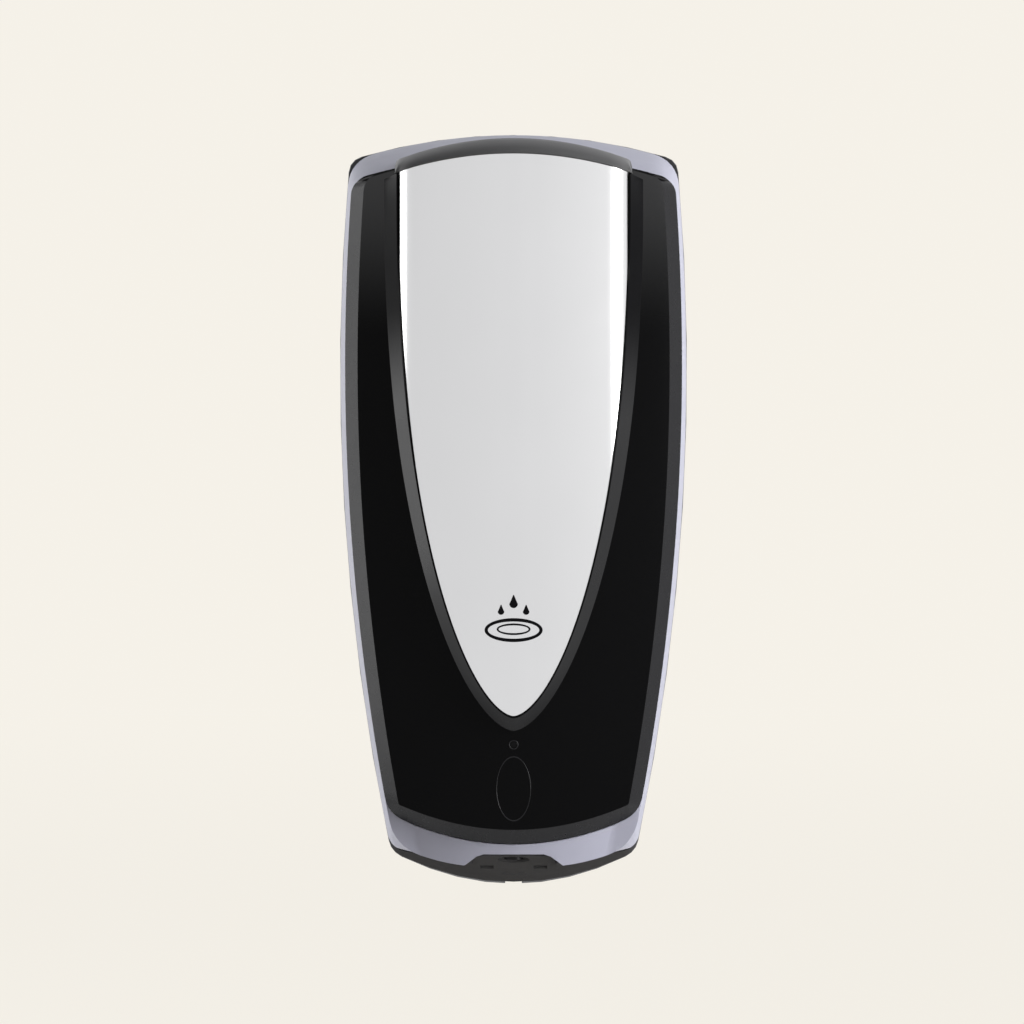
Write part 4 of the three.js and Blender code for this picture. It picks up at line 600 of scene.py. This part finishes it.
slice_faces(form, faces_where(form, lambda *place: below_skirt(*place, margin=6)), (0, 0, skirt_height), up)
bmesh.ops.delete(form, geom=faces_where(form, below_skirt), context="FACES")
for side in (-1, 1):
    lean = Vector((side * slope.x, 0, slope.z))
    corners = ((notch_half_top, lean), (notch_half_top - notch_shoulder, (lean + up).normalized()))
    for corner_x, normal in corners:
        slice_faces(form, faces_where(form, near_notch), (side * corner_x, 0, notch_head[2]), normal)
slice_faces(form, faces_where(form, near_notch), notch_head, up)
bmesh.ops.delete(form, geom=faces_where(form, in_notch), context="FACES")
cover = piece("cover_shell_fine", form, "cover", silver_plastic, ["cover_shell"],
              sharp=28)
wall = cover.modifiers.new("wall", "SOLIDIFY")
wall.thickness = cover_wall * millimetre
wall.use_even_offset = True
finish_edges(cover, 0.35, 2, 40)

# Tabs for the face's screws, lugs on the hinge pins, and catches for the latch's hooks.
tab_depth, tab_heights = 65.2, (95, -60)
tab_length, tab_half_height = 10.5, 5.0
hinge_place, lug_radius = (21.0, 129.5), 3.5
catch_depth, catch_floor, catch_wall = 72.1, -120.3, 1.6
form = bmesh.new()
for side in (-1, 1):
    for tab_height in tab_heights:
        reach = side_at(tab_height, tab_depth) - cover_wall
        across = sorted((side * (reach - tab_length), side * (reach + 0.6)))
        box(form, across, (tab_depth - cover_wall, tab_depth), about(tab_height, tab_half_height), 0.5)
    across = sorted((side * 22, side * 26))
    bar(form, hinge_place, (lug_radius, lug_radius), across, axis="X", bevel=0.3)
    depths = about(hinge_place[0], lug_radius)
    box(form, across, depths, (hinge_place[1], roof_at(26, hinge_place[0]) - cover_wall / 2), 0.3)
    across = sorted((side * 23.7, side * 30.3))
    box(form, across, (catch_depth, catch_depth + 6), (catch_floor, catch_floor + catch_wall), 0.2)
    box(form, across, (catch_depth, catch_depth + catch_wall), (catch_floor, catch_floor + 5.8), 0.2)
piece("cover_fixings", form, "cover", silver_plastic)

# Face
# A glossy black moulding with a bevel down its sides and across its foot, screwed to tabs inside the cover.
# A raised rim, itself bevelled, runs round the bright panel like a long U and is open at its top.
face_wall = 2.6
panel_half_width = 40.5
panel_shoulder = 114.0
panel_tip = face_bottom + 45.8
panel_radius = 150.0
panel_depth = 95.5  # of its middle
panel_top = (124.5, 140.0)  # its height in the middle, and the radius that it falls with to its sides
panel_taper = (2.25, 0.6)
roll_start, roll_reach, roll_radius = 33.5, 7.0, 8.0  # of its long edges
panel_wall = 1.5
panel_seat = panel_wall + gap
rim_stands = 0.5  # in front of the panel
rim_crest = 0.5
rim_bevel = 4.6
rim_bevel_drop = 4.4
rim_wall_top, rim_wall_fade = 75.0, 45.0  # where the low wall under the rim starts, and how far it grows
panel_ledge = 3.5
lamp_height = face_bottom + 35.3
lamp_radius = 1.5
window_height = face_bottom + 19.8
window_half = (6.0, 11.25)
boss_radius = 3.2
tongue_steps = 150


def panel_side_at(share, half_width):
    return half_width * (1 - share ** panel_taper[0]) ** panel_taper[1]


def panel_top_at(x):
    return panel_top[0] - sag(x, panel_top[1])


def crest_at(x):
    into = min(max(abs(x) - roll_start, 0), roll_reach)
    return panel_depth - sag(x, panel_radius) - (roll_radius - math.sqrt(roll_radius ** 2 - into ** 2))


def panel_outline(grow, top_inset=0.0):
    """The tongue's outline, grown at its sides and tip and drawn down at its top edge."""
    half_width, tip = panel_half_width + grow, panel_tip - grow
    shares = [math.sin(math.pi / 2 * k / tongue_steps) for k in range(tongue_steps, -1, -1)]
    side = [(panel_side_at(share, half_width), blend(panel_shoulder, tip, share)) for share in shares]
    head = panel_top_at(half_width) - top_inset
    side += [(half_width, blend(panel_shoulder, head, k / 6)) for k in range(1, 7)]
    along_top = [half_width * k / rough_steps for k in range(rough_steps, -1, -1)]
    top_path = [(x, panel_top_at(x) - top_inset) for x in along_top]
    foot = 36  # places of the side that count as the outline's foot, to pair up with the face's foot
    return both_halves(side[:foot + 1], evenly(side[foot:], side_steps), top_path)


def on_face(shape, back=0.0):
    return [(x, back - face_at(x, z), z) for x, z, _ in shape]


def on_crest(shape, back, top_back=None):
    tops = back if top_back is None else top_back
    return [(x, (tops if share else back) - crest_at(x), z) for x, z, share in shape]


def on_wall(foot, crest):
    """The foot of the rim's bevel: on the face at the top, and lower down on a low wall round the rim."""
    places = []
    for (x, y, z), (_, crest_y, _) in zip(foot, crest):
        wall_share = min(max((rim_wall_top - z) / rim_wall_fade, 0), 1)
        places.append((x, blend(y - 0.8, crest_y + rim_bevel_drop, wall_share), z))
    return places


rim_grow = gap + rim_crest
rim_foot = panel_outline(rim_grow + rim_bevel)
rim_top = panel_outline(rim_grow)
rim_mouth = panel_outline(gap, panel_ledge / 3)
ledge = panel_outline(-panel_ledge, panel_ledge)
full_edge = face_outline(0, 0, 0)
lip = face_outline(cover_wall, cover_wall, cover_wall)
shares_out = (1, 0.88, 0.75, 0.6, 0.45, 0.3, 0.16, 0.05, 0)  # of the way from the rim out to the bevel
face_rings = [edge_ring(full_edge, 0)]
face_rings += [on_face(blend_rings(rim_foot, bevel_inner, share)) for share in shares_out]
face_rings += [
    on_wall(on_face(rim_foot), on_crest(rim_top, -rim_stands)),
    on_crest(rim_top, -rim_stands, panel_seat),
    on_crest(rim_mouth, -rim_stands, panel_seat),
    on_crest(rim_mouth, panel_seat),
    on_crest(ledge, panel_seat),
    on_face(ledge, face_wall),
    *(on_face(blend_rings(rim_foot, bevel_inner, share), face_wall) for share in (0, 0.5, 0.92)),
    edge_ring(lip, face_wall),
    edge_ring(full_edge, face_wall),
]
plain, on_bevel, on_rim_bevel, on_rim_crest = range(4)
looks = [on_bevel, *[plain] * len(shares_out), on_rim_bevel, on_rim_crest]
looks += [plain] * (len(face_rings) - len(looks))
form = bmesh.new()
wrap(form, face_rings, closed_across=True, looks=looks)
gloss_black = moulded("gloss_black_plastic", "070708", 0.13, 1.4, 0.0012, shift=0.10, dust=0.05,
                      coat=(60, 126), specular_ior_level=0.06)
face = piece("front_face", form, "cover", gloss_black, ["front_fascia"], sharp=20)
# Painted light: the bevel's black is a shade lighter than the face's and stands in for the reflection the
# bevel catches. Its satin gloss is its own.
bevel_satin_painted_light = moulded("bevel_satin_painted_light", "141417", 0.27, 0.8, 0.0015, shift=0.08, dust=0.08,
                      specular_ior_level=0.27)
rim_satin = moulded("rim_satin", "0a0a0c", 0.3, 0.8, 0.0015, shift=0.08, dust=0.03, coat=(72, 30),
                    specular_ior_level=0.05, coat_roughness=0.27, coat_ior=1.35)
crest_black = moulded("rim_crest_black", "070708", 0.4, 0.8, 0.0015, specular_ior_level=0.04)
for material in (bevel_satin_painted_light, rim_satin, crest_black):
    face.data.materials.append(material)
bevel_end = 1.6  # below the top edge
for polygon in face.data.polygons:
    x, z = polygon.center.x / millimetre, polygon.center.z / millimetre
    if polygon.material_index == on_bevel and z > face_top_at(x) - bevel_end:
        polygon.material_index = plain

form = bmesh.new()
for side in (-1, 1):
    for tab_height in tab_heights:
        boss_x = side * (side_at(tab_height, tab_depth) - cover_wall - tab_length + 3.5)
        depths = (tab_depth + gap, face_at(boss_x, tab_height) - face_wall / 2)
        bar(form, (boss_x, tab_height), (boss_radius, boss_radius), depths, bevel=0.2, sides=24)
        for wide, tall in ((5.2, 0.6), (0.6, 5.2)):
            depths = (tab_depth + 2, tab_depth + 6)
            box(form, about(boss_x, wide / 2), depths, about(tab_height, tall / 2))
piece("face_bosses", form, "cover", gloss_black)

# Bright panel
# A thin crowned sheet of chromed plastic, a tongue that rounds to a tip, seated on a ledge inside the rim.
# Its two long edges roll back, which is where it catches the lamps.
panel_rows = 110
panel_columns = 72
straight_rows = 8  # above the shoulder
under_cap = 0.15
turns = [math.pi / 2 * (2 * k / panel_columns - 1) for k in range(panel_columns + 1)]
top_row = [panel_half_width * math.sin(turn) for turn in turns]
sheet = []
for row in range(straight_rows + 1):
    heights = [blend(panel_top_at(x) + under_cap, panel_shoulder, row / straight_rows) for x in top_row]
    sheet.append([(x, -crest_at(x), z) for x, z in zip(top_row, heights)])
for row in range(1, panel_rows + 1):
    share = math.sin(math.pi / 2 * row / panel_rows)
    narrow = panel_side_at(min(share, 1), 1)
    z = blend(panel_shoulder, panel_tip, share)
    sheet.append([(x * narrow, -crest_at(x * narrow), z) for x in top_row])
form = bmesh.new()
lay(form, sheet)
bmesh.ops.remove_doubles(form, verts=form.verts, dist=1e-5)
bmesh.ops.reverse_faces(form, faces=form.faces)

chrome, surface, place = shader("bright_panel", metallic=1.0)
brushed = place.noise(0.9, 2, (1, 1, 0.02))
smudge = place.noise(14, 4).rise(0.45, 0.8)
feed(surface, "Base Color", place.noise(60, 2).tint(rgb("e4e4e4"), rgb("ebebeb")))
feed(surface, "Roughness", 0.24 + smudge * 0.02 + brushed * 0.02)
relief(surface, place.noise(1.6, 2), 0.0004)
panel = piece("bright_panel_fine", form, "cover", chrome, ["chrome_panel"], turn_out=False)
wall = panel.modifiers.new("wall", "SOLIDIFY")
wall.thickness = panel_wall * millimetre
finish_edges(panel, 0.2, 2, 50)

# Cap
# A dark satin moulding that closes the top of the rim and runs back over the roof, held on by foam tape.
# Its ends are cut at an angle, and it leans back from the panel's crest.
cap_columns = 60
lower_half, upper_half = 42.0, 40.0
cap_front_height = 6.1
cap_top_radius = 120.0
cap_lean = 9.0
cap_tail = 13.0
cap_bow = 2.0  # of its front, forward of a straight line
cap_crown = 0.35  # of its roof
front_shares = (0.15, 0.32, 0.5, 0.68, 0.85)
roof_shares = (0.33, 0.66)
cap_sections = []
for column in range(cap_columns + 1):
    across = 2 * column / cap_columns - 1
    low, high = lower_half * across, upper_half * across
    upper = panel_top[0] + cap_front_height + gap - sag(high, cap_top_radius)
    foot = panel_top_at(low) + gap
    face_top = face_top_at(low) + gap
    tail = face_at(low, face_top) - cap_tail
    front_foot = (low, -(crest_at(low) + rim_stands), foot)
    front_head = (high, -(crest_at(high) - cap_lean), upper)
    tail_edge = (low, -tail, roof_at(low, tail) + 2 * gap)
    bulge = [blend_places(front_foot, front_head, share) for share in front_shares]
    bulge = [(x, y - cap_bow * math.sin(math.pi * k / 6), z) for k, (x, y, z) in enumerate(bulge, 1)]
    over = [blend_places(front_head, tail_edge, share) for share in roof_shares]
    over = [(x, y, z + cap_crown * math.sin(math.pi * s)) for (x, y, z), s in zip(over, roof_shares)]
    inner = (low, -(face_at(low, face_top) + 1), face_top)
    cap_sections.append([front_foot, *bulge, front_head, *over, tail_edge, inner,
                         (low, -(face_at(low, foot) + 1), foot)])
form = bmesh.new()
wrap(form, cap_sections)
bmesh.ops.holes_fill(form, edges=[edge for edge in form.edges if edge.is_boundary], sides=0)
cap_plastic = moulded("cap_plastic", "525253", 0.38, 0.5, 0.003, dust=0.04, specular_ior_level=0.2)
cap = piece("top_cap_fine", form, "cover", cap_plastic, ["top_cap"], sharp=30)
finish_edges(cap, 0.35, 3, 30)

# Base
# A dark plastic tub that closes the foot of the cover behind its chin, screwed to the back plate. Its
# underside is scooped out below the nozzle, whose oval opening lies between the sensor's two slots.
body_of = {node: body for body, nodes in frame["record"]["behaviour"]["bodies"].items() for node in nodes}


def from_frame(node, material, edge_mm=0.25, sharp=30.0, segments=2):
    """A node's own solid, merged, with moulded edges and smooth bends, in place of its loose triangles."""
    form = bmesh.new()
    form.from_mesh(frame["nodes"][node].data)
    bmesh.ops.remove_doubles(form, verts=form.verts, dist=2e-6)
    bmesh.ops.dissolve_limit(form, angle_limit=math.radians(0.7), verts=form.verts, edges=form.edges)
    made = piece(node + "_fine", form, body_of[node], material, [node], sharp, turn_out=False)
    if edge_mm:
        finish_edges(made, edge_mm, segments, sharp)
    weigh = made.modifiers.new("normals", "WEIGHTED_NORMAL")
    weigh.keep_sharp = True
    return made


base_plastic = moulded("base_plastic", "4b4b4d", 0.55, 0.4, 0.004, dust=0.02, specular_ior_level=0.0)
from_frame("base_shroud", base_plastic, 0.3)

# Nozzle
# A black moulded stem that slides in the pump and turns forward to a short spout over the opening, pressed
# up by the carriage.
nozzle_black = moulded("nozzle_black", "0c0c0e", 0.35, 0.8, 0.002, specular_ior_level=0.2)
from_frame("pump_nozzle", nozzle_black, 0.2)

# Sensor
# A narrow board in the base with a sender and a receiver, each a small dark lens over its slot.
solder_mask = moulded("solder_mask", "1d5b39", 0.34, 0.5, 0.002, shift=0.12)
from_frame("sensor_board", solder_mask, 0.1)
eye_resin = moulded("eye_resin", "0c0910", 0.12, 0.7, 0.001)
for node in ("sensor_emitter", "sensor_receiver"):
    from_frame(node, eye_resin, 0.2)

# Back plate
# A shallow black tray against the wall, with keyholes for four wall screws, two ears for the hinge and
# bosses for all that is screwed to it. Its corners show past the rounder corners of the cover.
back_plastic = moulded("back_plastic", "1a1a1c", 0.5, 0.4, 0.005, dust=0.25)
from_frame("back_plate", back_plastic, 0.3)

# Hinge
# Two short zinc-plated steel pins that the cover swings on. Each runs through an ear of the back plate and
# a lug inside the cover's roof.


def mottled(name, patches, colours, gloss_patches, roughness, grain_mm, grain_depth, **constant):
    """A surface whose colour and gloss drift between two of each, over patches of a size and detail."""
    made, surface, place = shader(name, **constant)
    feed(surface, "Base Color", place.noise(*patches).tint(*map(rgb, colours)))
    feed(surface, "Roughness", roughness[0] + place.noise(*gloss_patches) * roughness[1])
    relief(surface, place.noise(grain_mm, 2), grain_depth)
    return made


zinc = mottled("zinc_steel", (2.2, 4), ("a9adb3", "cdd0d4"), (0.8, 3), (0.26, 0.16), 0.25, 0.003,
               metallic=1.0)
for node in ("hinge_pin_left", "hinge_pin_right"):
    from_frame(node, zinc, 0.2)

# Refill shelf and pump
# A white shelf on the back plate that carries the bottle upside down by its neck. The pump hangs in the
# neck, and a coil spring under it keeps the nozzle's carriage down.
white_plastic = moulded("white_plastic", "dfdfda", 0.42, 0.4, 0.004, shift=0.02, dust=0.12)
white_resin = moulded("white_resin", "e9e6dc", 0.36, 0.9, 0.002, shift=0.02, subsurface_weight=0.05)
carriage_plastic = moulded("carriage_plastic", "202023", 0.44, 0.5, 0.003)
from_frame("refill_shelf", white_plastic, 0.3)
from_frame("bottle_closure", white_resin, 0.3)
from_frame("pump_body", white_resin, 0.25)
from_frame("pump_carriage", carriage_plastic, 0.2)


def coil(name, node, place, radius, wire, turns):
    """A coil spring in place of a node."""
    low, high = (corner.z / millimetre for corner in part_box(node))
    form = bmesh.new()
    ring = bmesh.ops.create_circle(form, segments=10, radius=wire * millimetre, cap_ends=True)
    bmesh.ops.rotate(form, verts=ring["verts"], cent=(0, 0, 0), matrix=Matrix.Rotation(math.pi / 2, 3, "X"))
    rise = high - low - 2 * wire
    bmesh.ops.translate(form, verts=ring["verts"],
                        vec=Vector((place[0] + radius, -place[1], low + wire)) * millimetre)
    centre = Vector((place[0], -place[1], 0)) * millimetre
    steps = turns * 28
    geometry = [*form.verts, *form.edges, *form.faces]
    bmesh.ops.spin(form, geom=geometry, cent=centre, axis=(0, 0, 1), angle=2 * math.pi * turns, steps=steps,
                   dvec=(0, 0, rise * millimetre / steps), use_duplicate=False)
    made = piece(name, form, "chassis", spring_steel, [node], sharp=70)
    Vector((place[0], -place[1], high)) * millimetre
    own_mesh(made)


spring_steel = mottled("spring_steel", (1.5, 3), ("8b8e93", "b9bcc1"), (0.5, 2), (0.22, 0.15), 0.3, 0.002,
                       metallic=1.0)
pump_depth = 53.0
coil("pump_coil", "pump_spring", (0, pump_depth), 5.5, 0.55, 6)

# Refill bottle
# A square-shouldered translucent bottle, hung neck down, part full of a clear sanitiser with a faint tint.
bottle_foot, bottle_head = -40.9, 108.0
bottle_centre = 49.0
bottle_half = (41.0, 22.0)
bottle_corner = 10.0
bottle_steps = 96
bottle_turns = [2 * math.pi * (k + 0.5) / bottle_steps for k in range(bottle_steps)]
neck_radius, neck_bore, neck_length = 11.1, 8.6, 12.0
shoulder_rise, shoulder_reach = 9.0, 9.6
grip, grip_inset = (-18.0, 84.0), 0.7  # the shallow panel round its sides
fill_height = 71.0


def bottle_ring(z, inset):
    """A rounded rectangle round the bottle at one height, drawn in by an inset."""
    corner = max(bottle_corner - inset, 0.2)
    places = []
    for turn in bottle_turns:
        x, y = (math.copysign(half - inset - corner, out) + corner * out
                for half, out in zip(bottle_half, (math.cos(turn), math.sin(turn))))
        places.append((x, y - bottle_centre, z))
    return places


def neck_ring(z, radius):
    return [(radius * math.cos(turn), radius * math.sin(turn) - pump_depth, z) for turn in bottle_turns]


def shoulder(z, up, turns):
    return [bottle_ring(z + up * shoulder_rise * (1 - math.cos(t)), shoulder_reach * (1 - math.sin(t)))
            for t in turns]


shoulder_turns = [math.pi / 2 * k / 8 for k in range(9)]
rings = [neck_ring(bottle_foot - neck_length, radius) for radius in (neck_bore, neck_radius)]
rings += [neck_ring(bottle_foot - 1, neck_radius), neck_ring(bottle_foot, neck_radius + 1.2)]
rings += shoulder(bottle_foot, 1, shoulder_turns)
rings += [bottle_ring(grip[0] - 2, 0), bottle_ring(grip[0], grip_inset)]
rings += [bottle_ring(grip[1], grip_inset), bottle_ring(grip[1] + 2, 0)]
rings += shoulder(bottle_head, -1, reversed(shoulder_turns))
rings += [blend_rings(rings[-1], [(0, -bottle_centre, bottle_head)] * bottle_steps, 0.5)]
form = bmesh.new()
wrap(form, rings)
top_rim = [edge for edge in form.edges if edge.is_boundary and edge.verts[0].co.z > 0]
bmesh.ops.holes_fill(form, edges=top_rim, sides=0)
bottle_clear, surface, place = shader("bottle_clear", transmission_weight=0.4, ior=1.46)
filled = place.axis("Z").rise(fill_height + 0.5, fill_height - 0.5)
feed(surface, "Base Color", filled.tint(rgb("dde3e5"), rgb("a9c9da")))
feed(surface, "Roughness", 0.24 + place.noise(5, 3) * 0.12)
relief(surface, place.noise(2.5, 2), 0.01)
bottle = piece("refill_bottle_fine", form, "chassis", bottle_clear, ["refill_bottle"])
bottle.modifiers.new("wall", "SOLIDIFY").thickness = 0.9 * millimetre

# Batteries
# Four cells side by side in a black tray high on the back plate, held by spring strips at both ends and
# closed in by a snap-on lid.
tray_plastic = moulded("tray_plastic", "19191b", 0.5, 0.4, 0.004, dust=0.15)
from_frame("battery_tray", tray_plastic, 0.2)
from_frame("battery_lid", tray_plastic, 0.3)
for node in ("battery_contact_lower", "battery_contact_upper"):
    from_frame(node, zinc, 0.08)
cell_depth, cell_radius, cell_length, nub_radii = 11.6, 7.1, 49.2, (2.7, 2.6)
cell_middle, cell_wrap_half, band_foot = 66.4, 24.3, 75.6
cell_wrap, surface, place = shader("cell_wrap")
height_on_cell = place.axis("Z")
band = height_on_cell.rise(band_foot, band_foot + 0.4)
steel_end = (height_on_cell - cell_middle).size().rise(cell_wrap_half, cell_wrap_half + 0.2)
feed(surface, "Base Color", steel_end.tint(band.tint(rgb("22344f"), rgb("b9793a")), rgb("c3c6ca")))
feed(surface, "Metallic", 0.2 + steel_end * 0.8)
feed(surface, "Roughness", 0.26 + place.noise(3, 3) * 0.14)
relief(surface, place.noise(0.6, 2), 0.003)
for number in range(1, 5):
    form = bmesh.new()
    node = f"battery_cell_{number}"
    low, high = (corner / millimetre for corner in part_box(node))
    middle, shoulder_z = ((low.x + high.x) / 2, cell_depth), low.z + cell_length
    bar(form, middle, (cell_radius, cell_radius), (low.z, shoulder_z), axis="Z", sides=48, bevel=0.7)
    bar(form, middle, nub_radii, (shoulder_z - 0.2, high.z), axis="Z", bevel=0.3)
    piece(f"battery_cell_fine_{number}", form, "chassis", cell_wrap, [node])

# Drive
# A small motor turns a train of white gears between the two halves of a white housing; the last gear lifts
# the rack of the carriage.
for node in ("drive_housing_rear", "drive_housing_front"):
    from_frame(node, white_plastic, 0.25)
from_frame("drive_motor", zinc, 0.3)
gear_resin = moulded("gear_resin", "e4dfd0", 0.38, 1.2, 0.002, shift=0.02, subsurface_weight=0.05)
for node in ("output_gear", "compound_gear", "motor_pinion"):
    from_frame(node, gear_resin, 0.08)
for node in ("output_axle", "compound_axle"):
    from_frame(node, spring_steel, 0.1)

# Control board
# A green board on standoffs beside the drive. Its chip and its tall can are black, and a white plug seat
# and rows of small parts are soldered round them.
board = from_frame("control_board", solder_mask, 0.1)
chip_black = moulded("chip_black", "17171a", 0.4, 0.5, 0.002)
board.data.materials.append(chip_black)
board_front = 9.6
plug_seat = (31.5, 39.5), (-102.4, -97.6)
part_columns, part_rows, lowest_part, part_pitch = (25.2, 38.8), 6, -95.5, 3.6
chip_middle, chip_reach, chip_pins, lowest_pin, pin_pitch = 32.0, 4.6, 7, -88.0, 1.1
for polygon in board.data.polygons:
    polygon.material_index = int(-polygon.center.y / millimetre > board_front + 0.1)
form = bmesh.new()
box(form, plug_seat[0], (board_front, board_front + 4.6), plug_seat[1], 0.3)
for x in (33.5, 35.5, 37.5):
    bar(form, (x, -100), (0.45, 0.45), (board_front + 4.4, board_front + 6.2), sides=12)
piece("plug_seat", form, "chassis", white_plastic)
parts, solder = bmesh.new(), bmesh.new()
for row in range(part_rows):
    z = lowest_part + row * part_pitch
    for x in part_columns:
        box(parts, about(x, 1), (board_front, board_front + 0.7), about(z, 0.6), 0.12)
        for end in about(x, 1.15):
            box(solder, about(end, 0.25), (board_front, board_front + 0.6), about(z, 0.6), 0.08)
for pin in range(chip_pins):
    z = lowest_pin + pin * pin_pitch
    for end in about(chip_middle, chip_reach):
        box(solder, about(end, 0.6), (board_front, board_front + 0.35), about(z, 0.22))
piece("board_parts", parts, "chassis", chip_black)
piece("solder_joints", solder, "chassis", zinc)

# Latch
# A black bar across the base that two coil springs press down on the catches of the cover. A key pushes
# its foot up through a slot in the underside to let the cover go.
from_frame("latch_bar", tray_plastic, 0.25)
for side, name in ((-1, "left"), (1, "right")):
    from_frame("latch_post_" + name, zinc, 0.15)
    place = (side * 18, 46.5)
    coil("latch_coil_" + name, "latch_spring_" + name, place, 3.0, 0.35, 5)

# Screws
# Zinc-plated steel screws with round heads, driven through the pieces into moulded bosses and tabs.
for node in sorted(frame["nodes"]):
    if "_screw_" in node:
        from_frame(node, zinc, 0.12)

# Lamp and window
# A tiny lamp that shows when the refill or the cells run low, and an oval smoked pane that shows nothing
# but its edge until it is lit from behind. Both are set into the face.
lamp_resin = moulded("lamp_resin", "070708", 0.16, 0.6, 0.001, specular_ior_level=0.1)
lamp_rear, lamp_face, lens_radius = 85.6, face_at(0, lamp_height), lamp_radius - 0.35
form = bmesh.new()
depths = (lamp_rear, lamp_face + 0.05)
bar(form, (0, lamp_height), (lens_radius, lens_radius), depths, sides=40, bevel=0.2)
piece("indicator_lens_fine", form, "cover", lamp_resin, ["indicator_lens"])
from_frame("indicator_board", solder_mask, 0.1)

smoked = mottled("smoked_window", (20, 2), ("08080a", "0e0e11"), (4, 3), (0.1, 0.05), 1.2, 0.001,
                 specular_ior_level=0.3)
from_frame("level_window", smoked, 0.35)

# Printed sign
# A generic sign in black ink low on the bright panel, a seat ring seen at a slant with three drops over it.
# It lies a hair in front of the panel and follows its curve.
sign_height = -37.7
ink_lift = 0.03
ink = mottled("sign_ink", (2, 2), ("08080a", "121214"), (1.2, 2), (0.4, 0.1), 0.2, 0.001,
              specular_ior_level=0.05)
form = bmesh.new()
for drop_below, half, stroke in ((4.6, (9.6, 3.6), 1.2), (4.3, (5.6, 1.7), 0.7)):
    turns = [2 * math.pi * k / 64 for k in range(65)]
    edges = list(zip(*(about(reach, stroke / 2) for reach in half)))
    lay(form, [[(a * math.cos(turn), 0, sign_height - drop_below + b * math.sin(turn)) for a, b in edges]
               for turn in turns])
drops = ((-4.4, 1.9, 1.15), (0, 4.6, 1.5), (4.4, 1.9, 1.15))  # place, lift and radius
for x, lift, reach in drops:
    drop = bmesh.ops.create_circle(form, segments=40, radius=reach, cap_ends=True)["verts"]
    for vert in drop:
        across, up = vert.co.x, vert.co.y
        rise = max(up, 0) / reach
        tall = sign_height + lift + up * (1 + 1.1 * rise)
        vert.co = Vector((x + across * (1 - 0.55 * rise), 0, tall)) * millimetre
bmesh.ops.subdivide_edges(form, edges=form.edges, cuts=1)
for vert in form.verts:
    vert.co.y = -(crest_at(vert.co.x / millimetre) + ink_lift) * millimetre
piece("seat_sign", form, "cover", ink, turn_out=False)

# Raised edges
# Fine rings moulded into the face, one round the lamp and a hair-thin one round the oval pane.


def raised_ring(wire, sides, radius, steps):
    """A ring of round moulding about the depth axis."""
    form = bmesh.new()
    bmesh.ops.create_circle(form, segments=sides, radius=wire * millimetre, cap_ends=False)
    for axis in "XZ":
        quarter = Matrix.Rotation(math.pi / 2, 3, axis)
        bmesh.ops.rotate(form, verts=form.verts, cent=(0, 0, 0), matrix=quarter)
    bmesh.ops.translate(form, verts=form.verts, vec=(0, 0, radius * millimetre))
    bmesh.ops.spin(form, geom=[*form.verts, *form.edges], cent=(0, 0, 0), axis=(0, 1, 0), angle=2 * math.pi,
                   steps=steps, use_merge=True, use_duplicate=False)
    return form


# Both rings take the bevel's material, whose lighter black is painted light that stands in for the
# reflection they catch.
form = raised_ring(0.22, 12, lamp_radius, 64)
bmesh.ops.translate(form, verts=form.verts, vec=Vector((0, -lamp_face - 0.02, lamp_height)) * millimetre)
piece("lamp_ring", form, "cover", bevel_satin_painted_light)

form = raised_ring(0.12, 10, window_half[0], 72)
for vert in form.verts:
    x, z = vert.co.x / millimetre, vert.co.z / millimetre * window_half[1] / window_half[0] + window_height
    vert.co = Vector((x, vert.co.y / millimetre - face_at(x, z), z)) * millimetre
piece("window_edge", form, "cover", bevel_satin_painted_light)
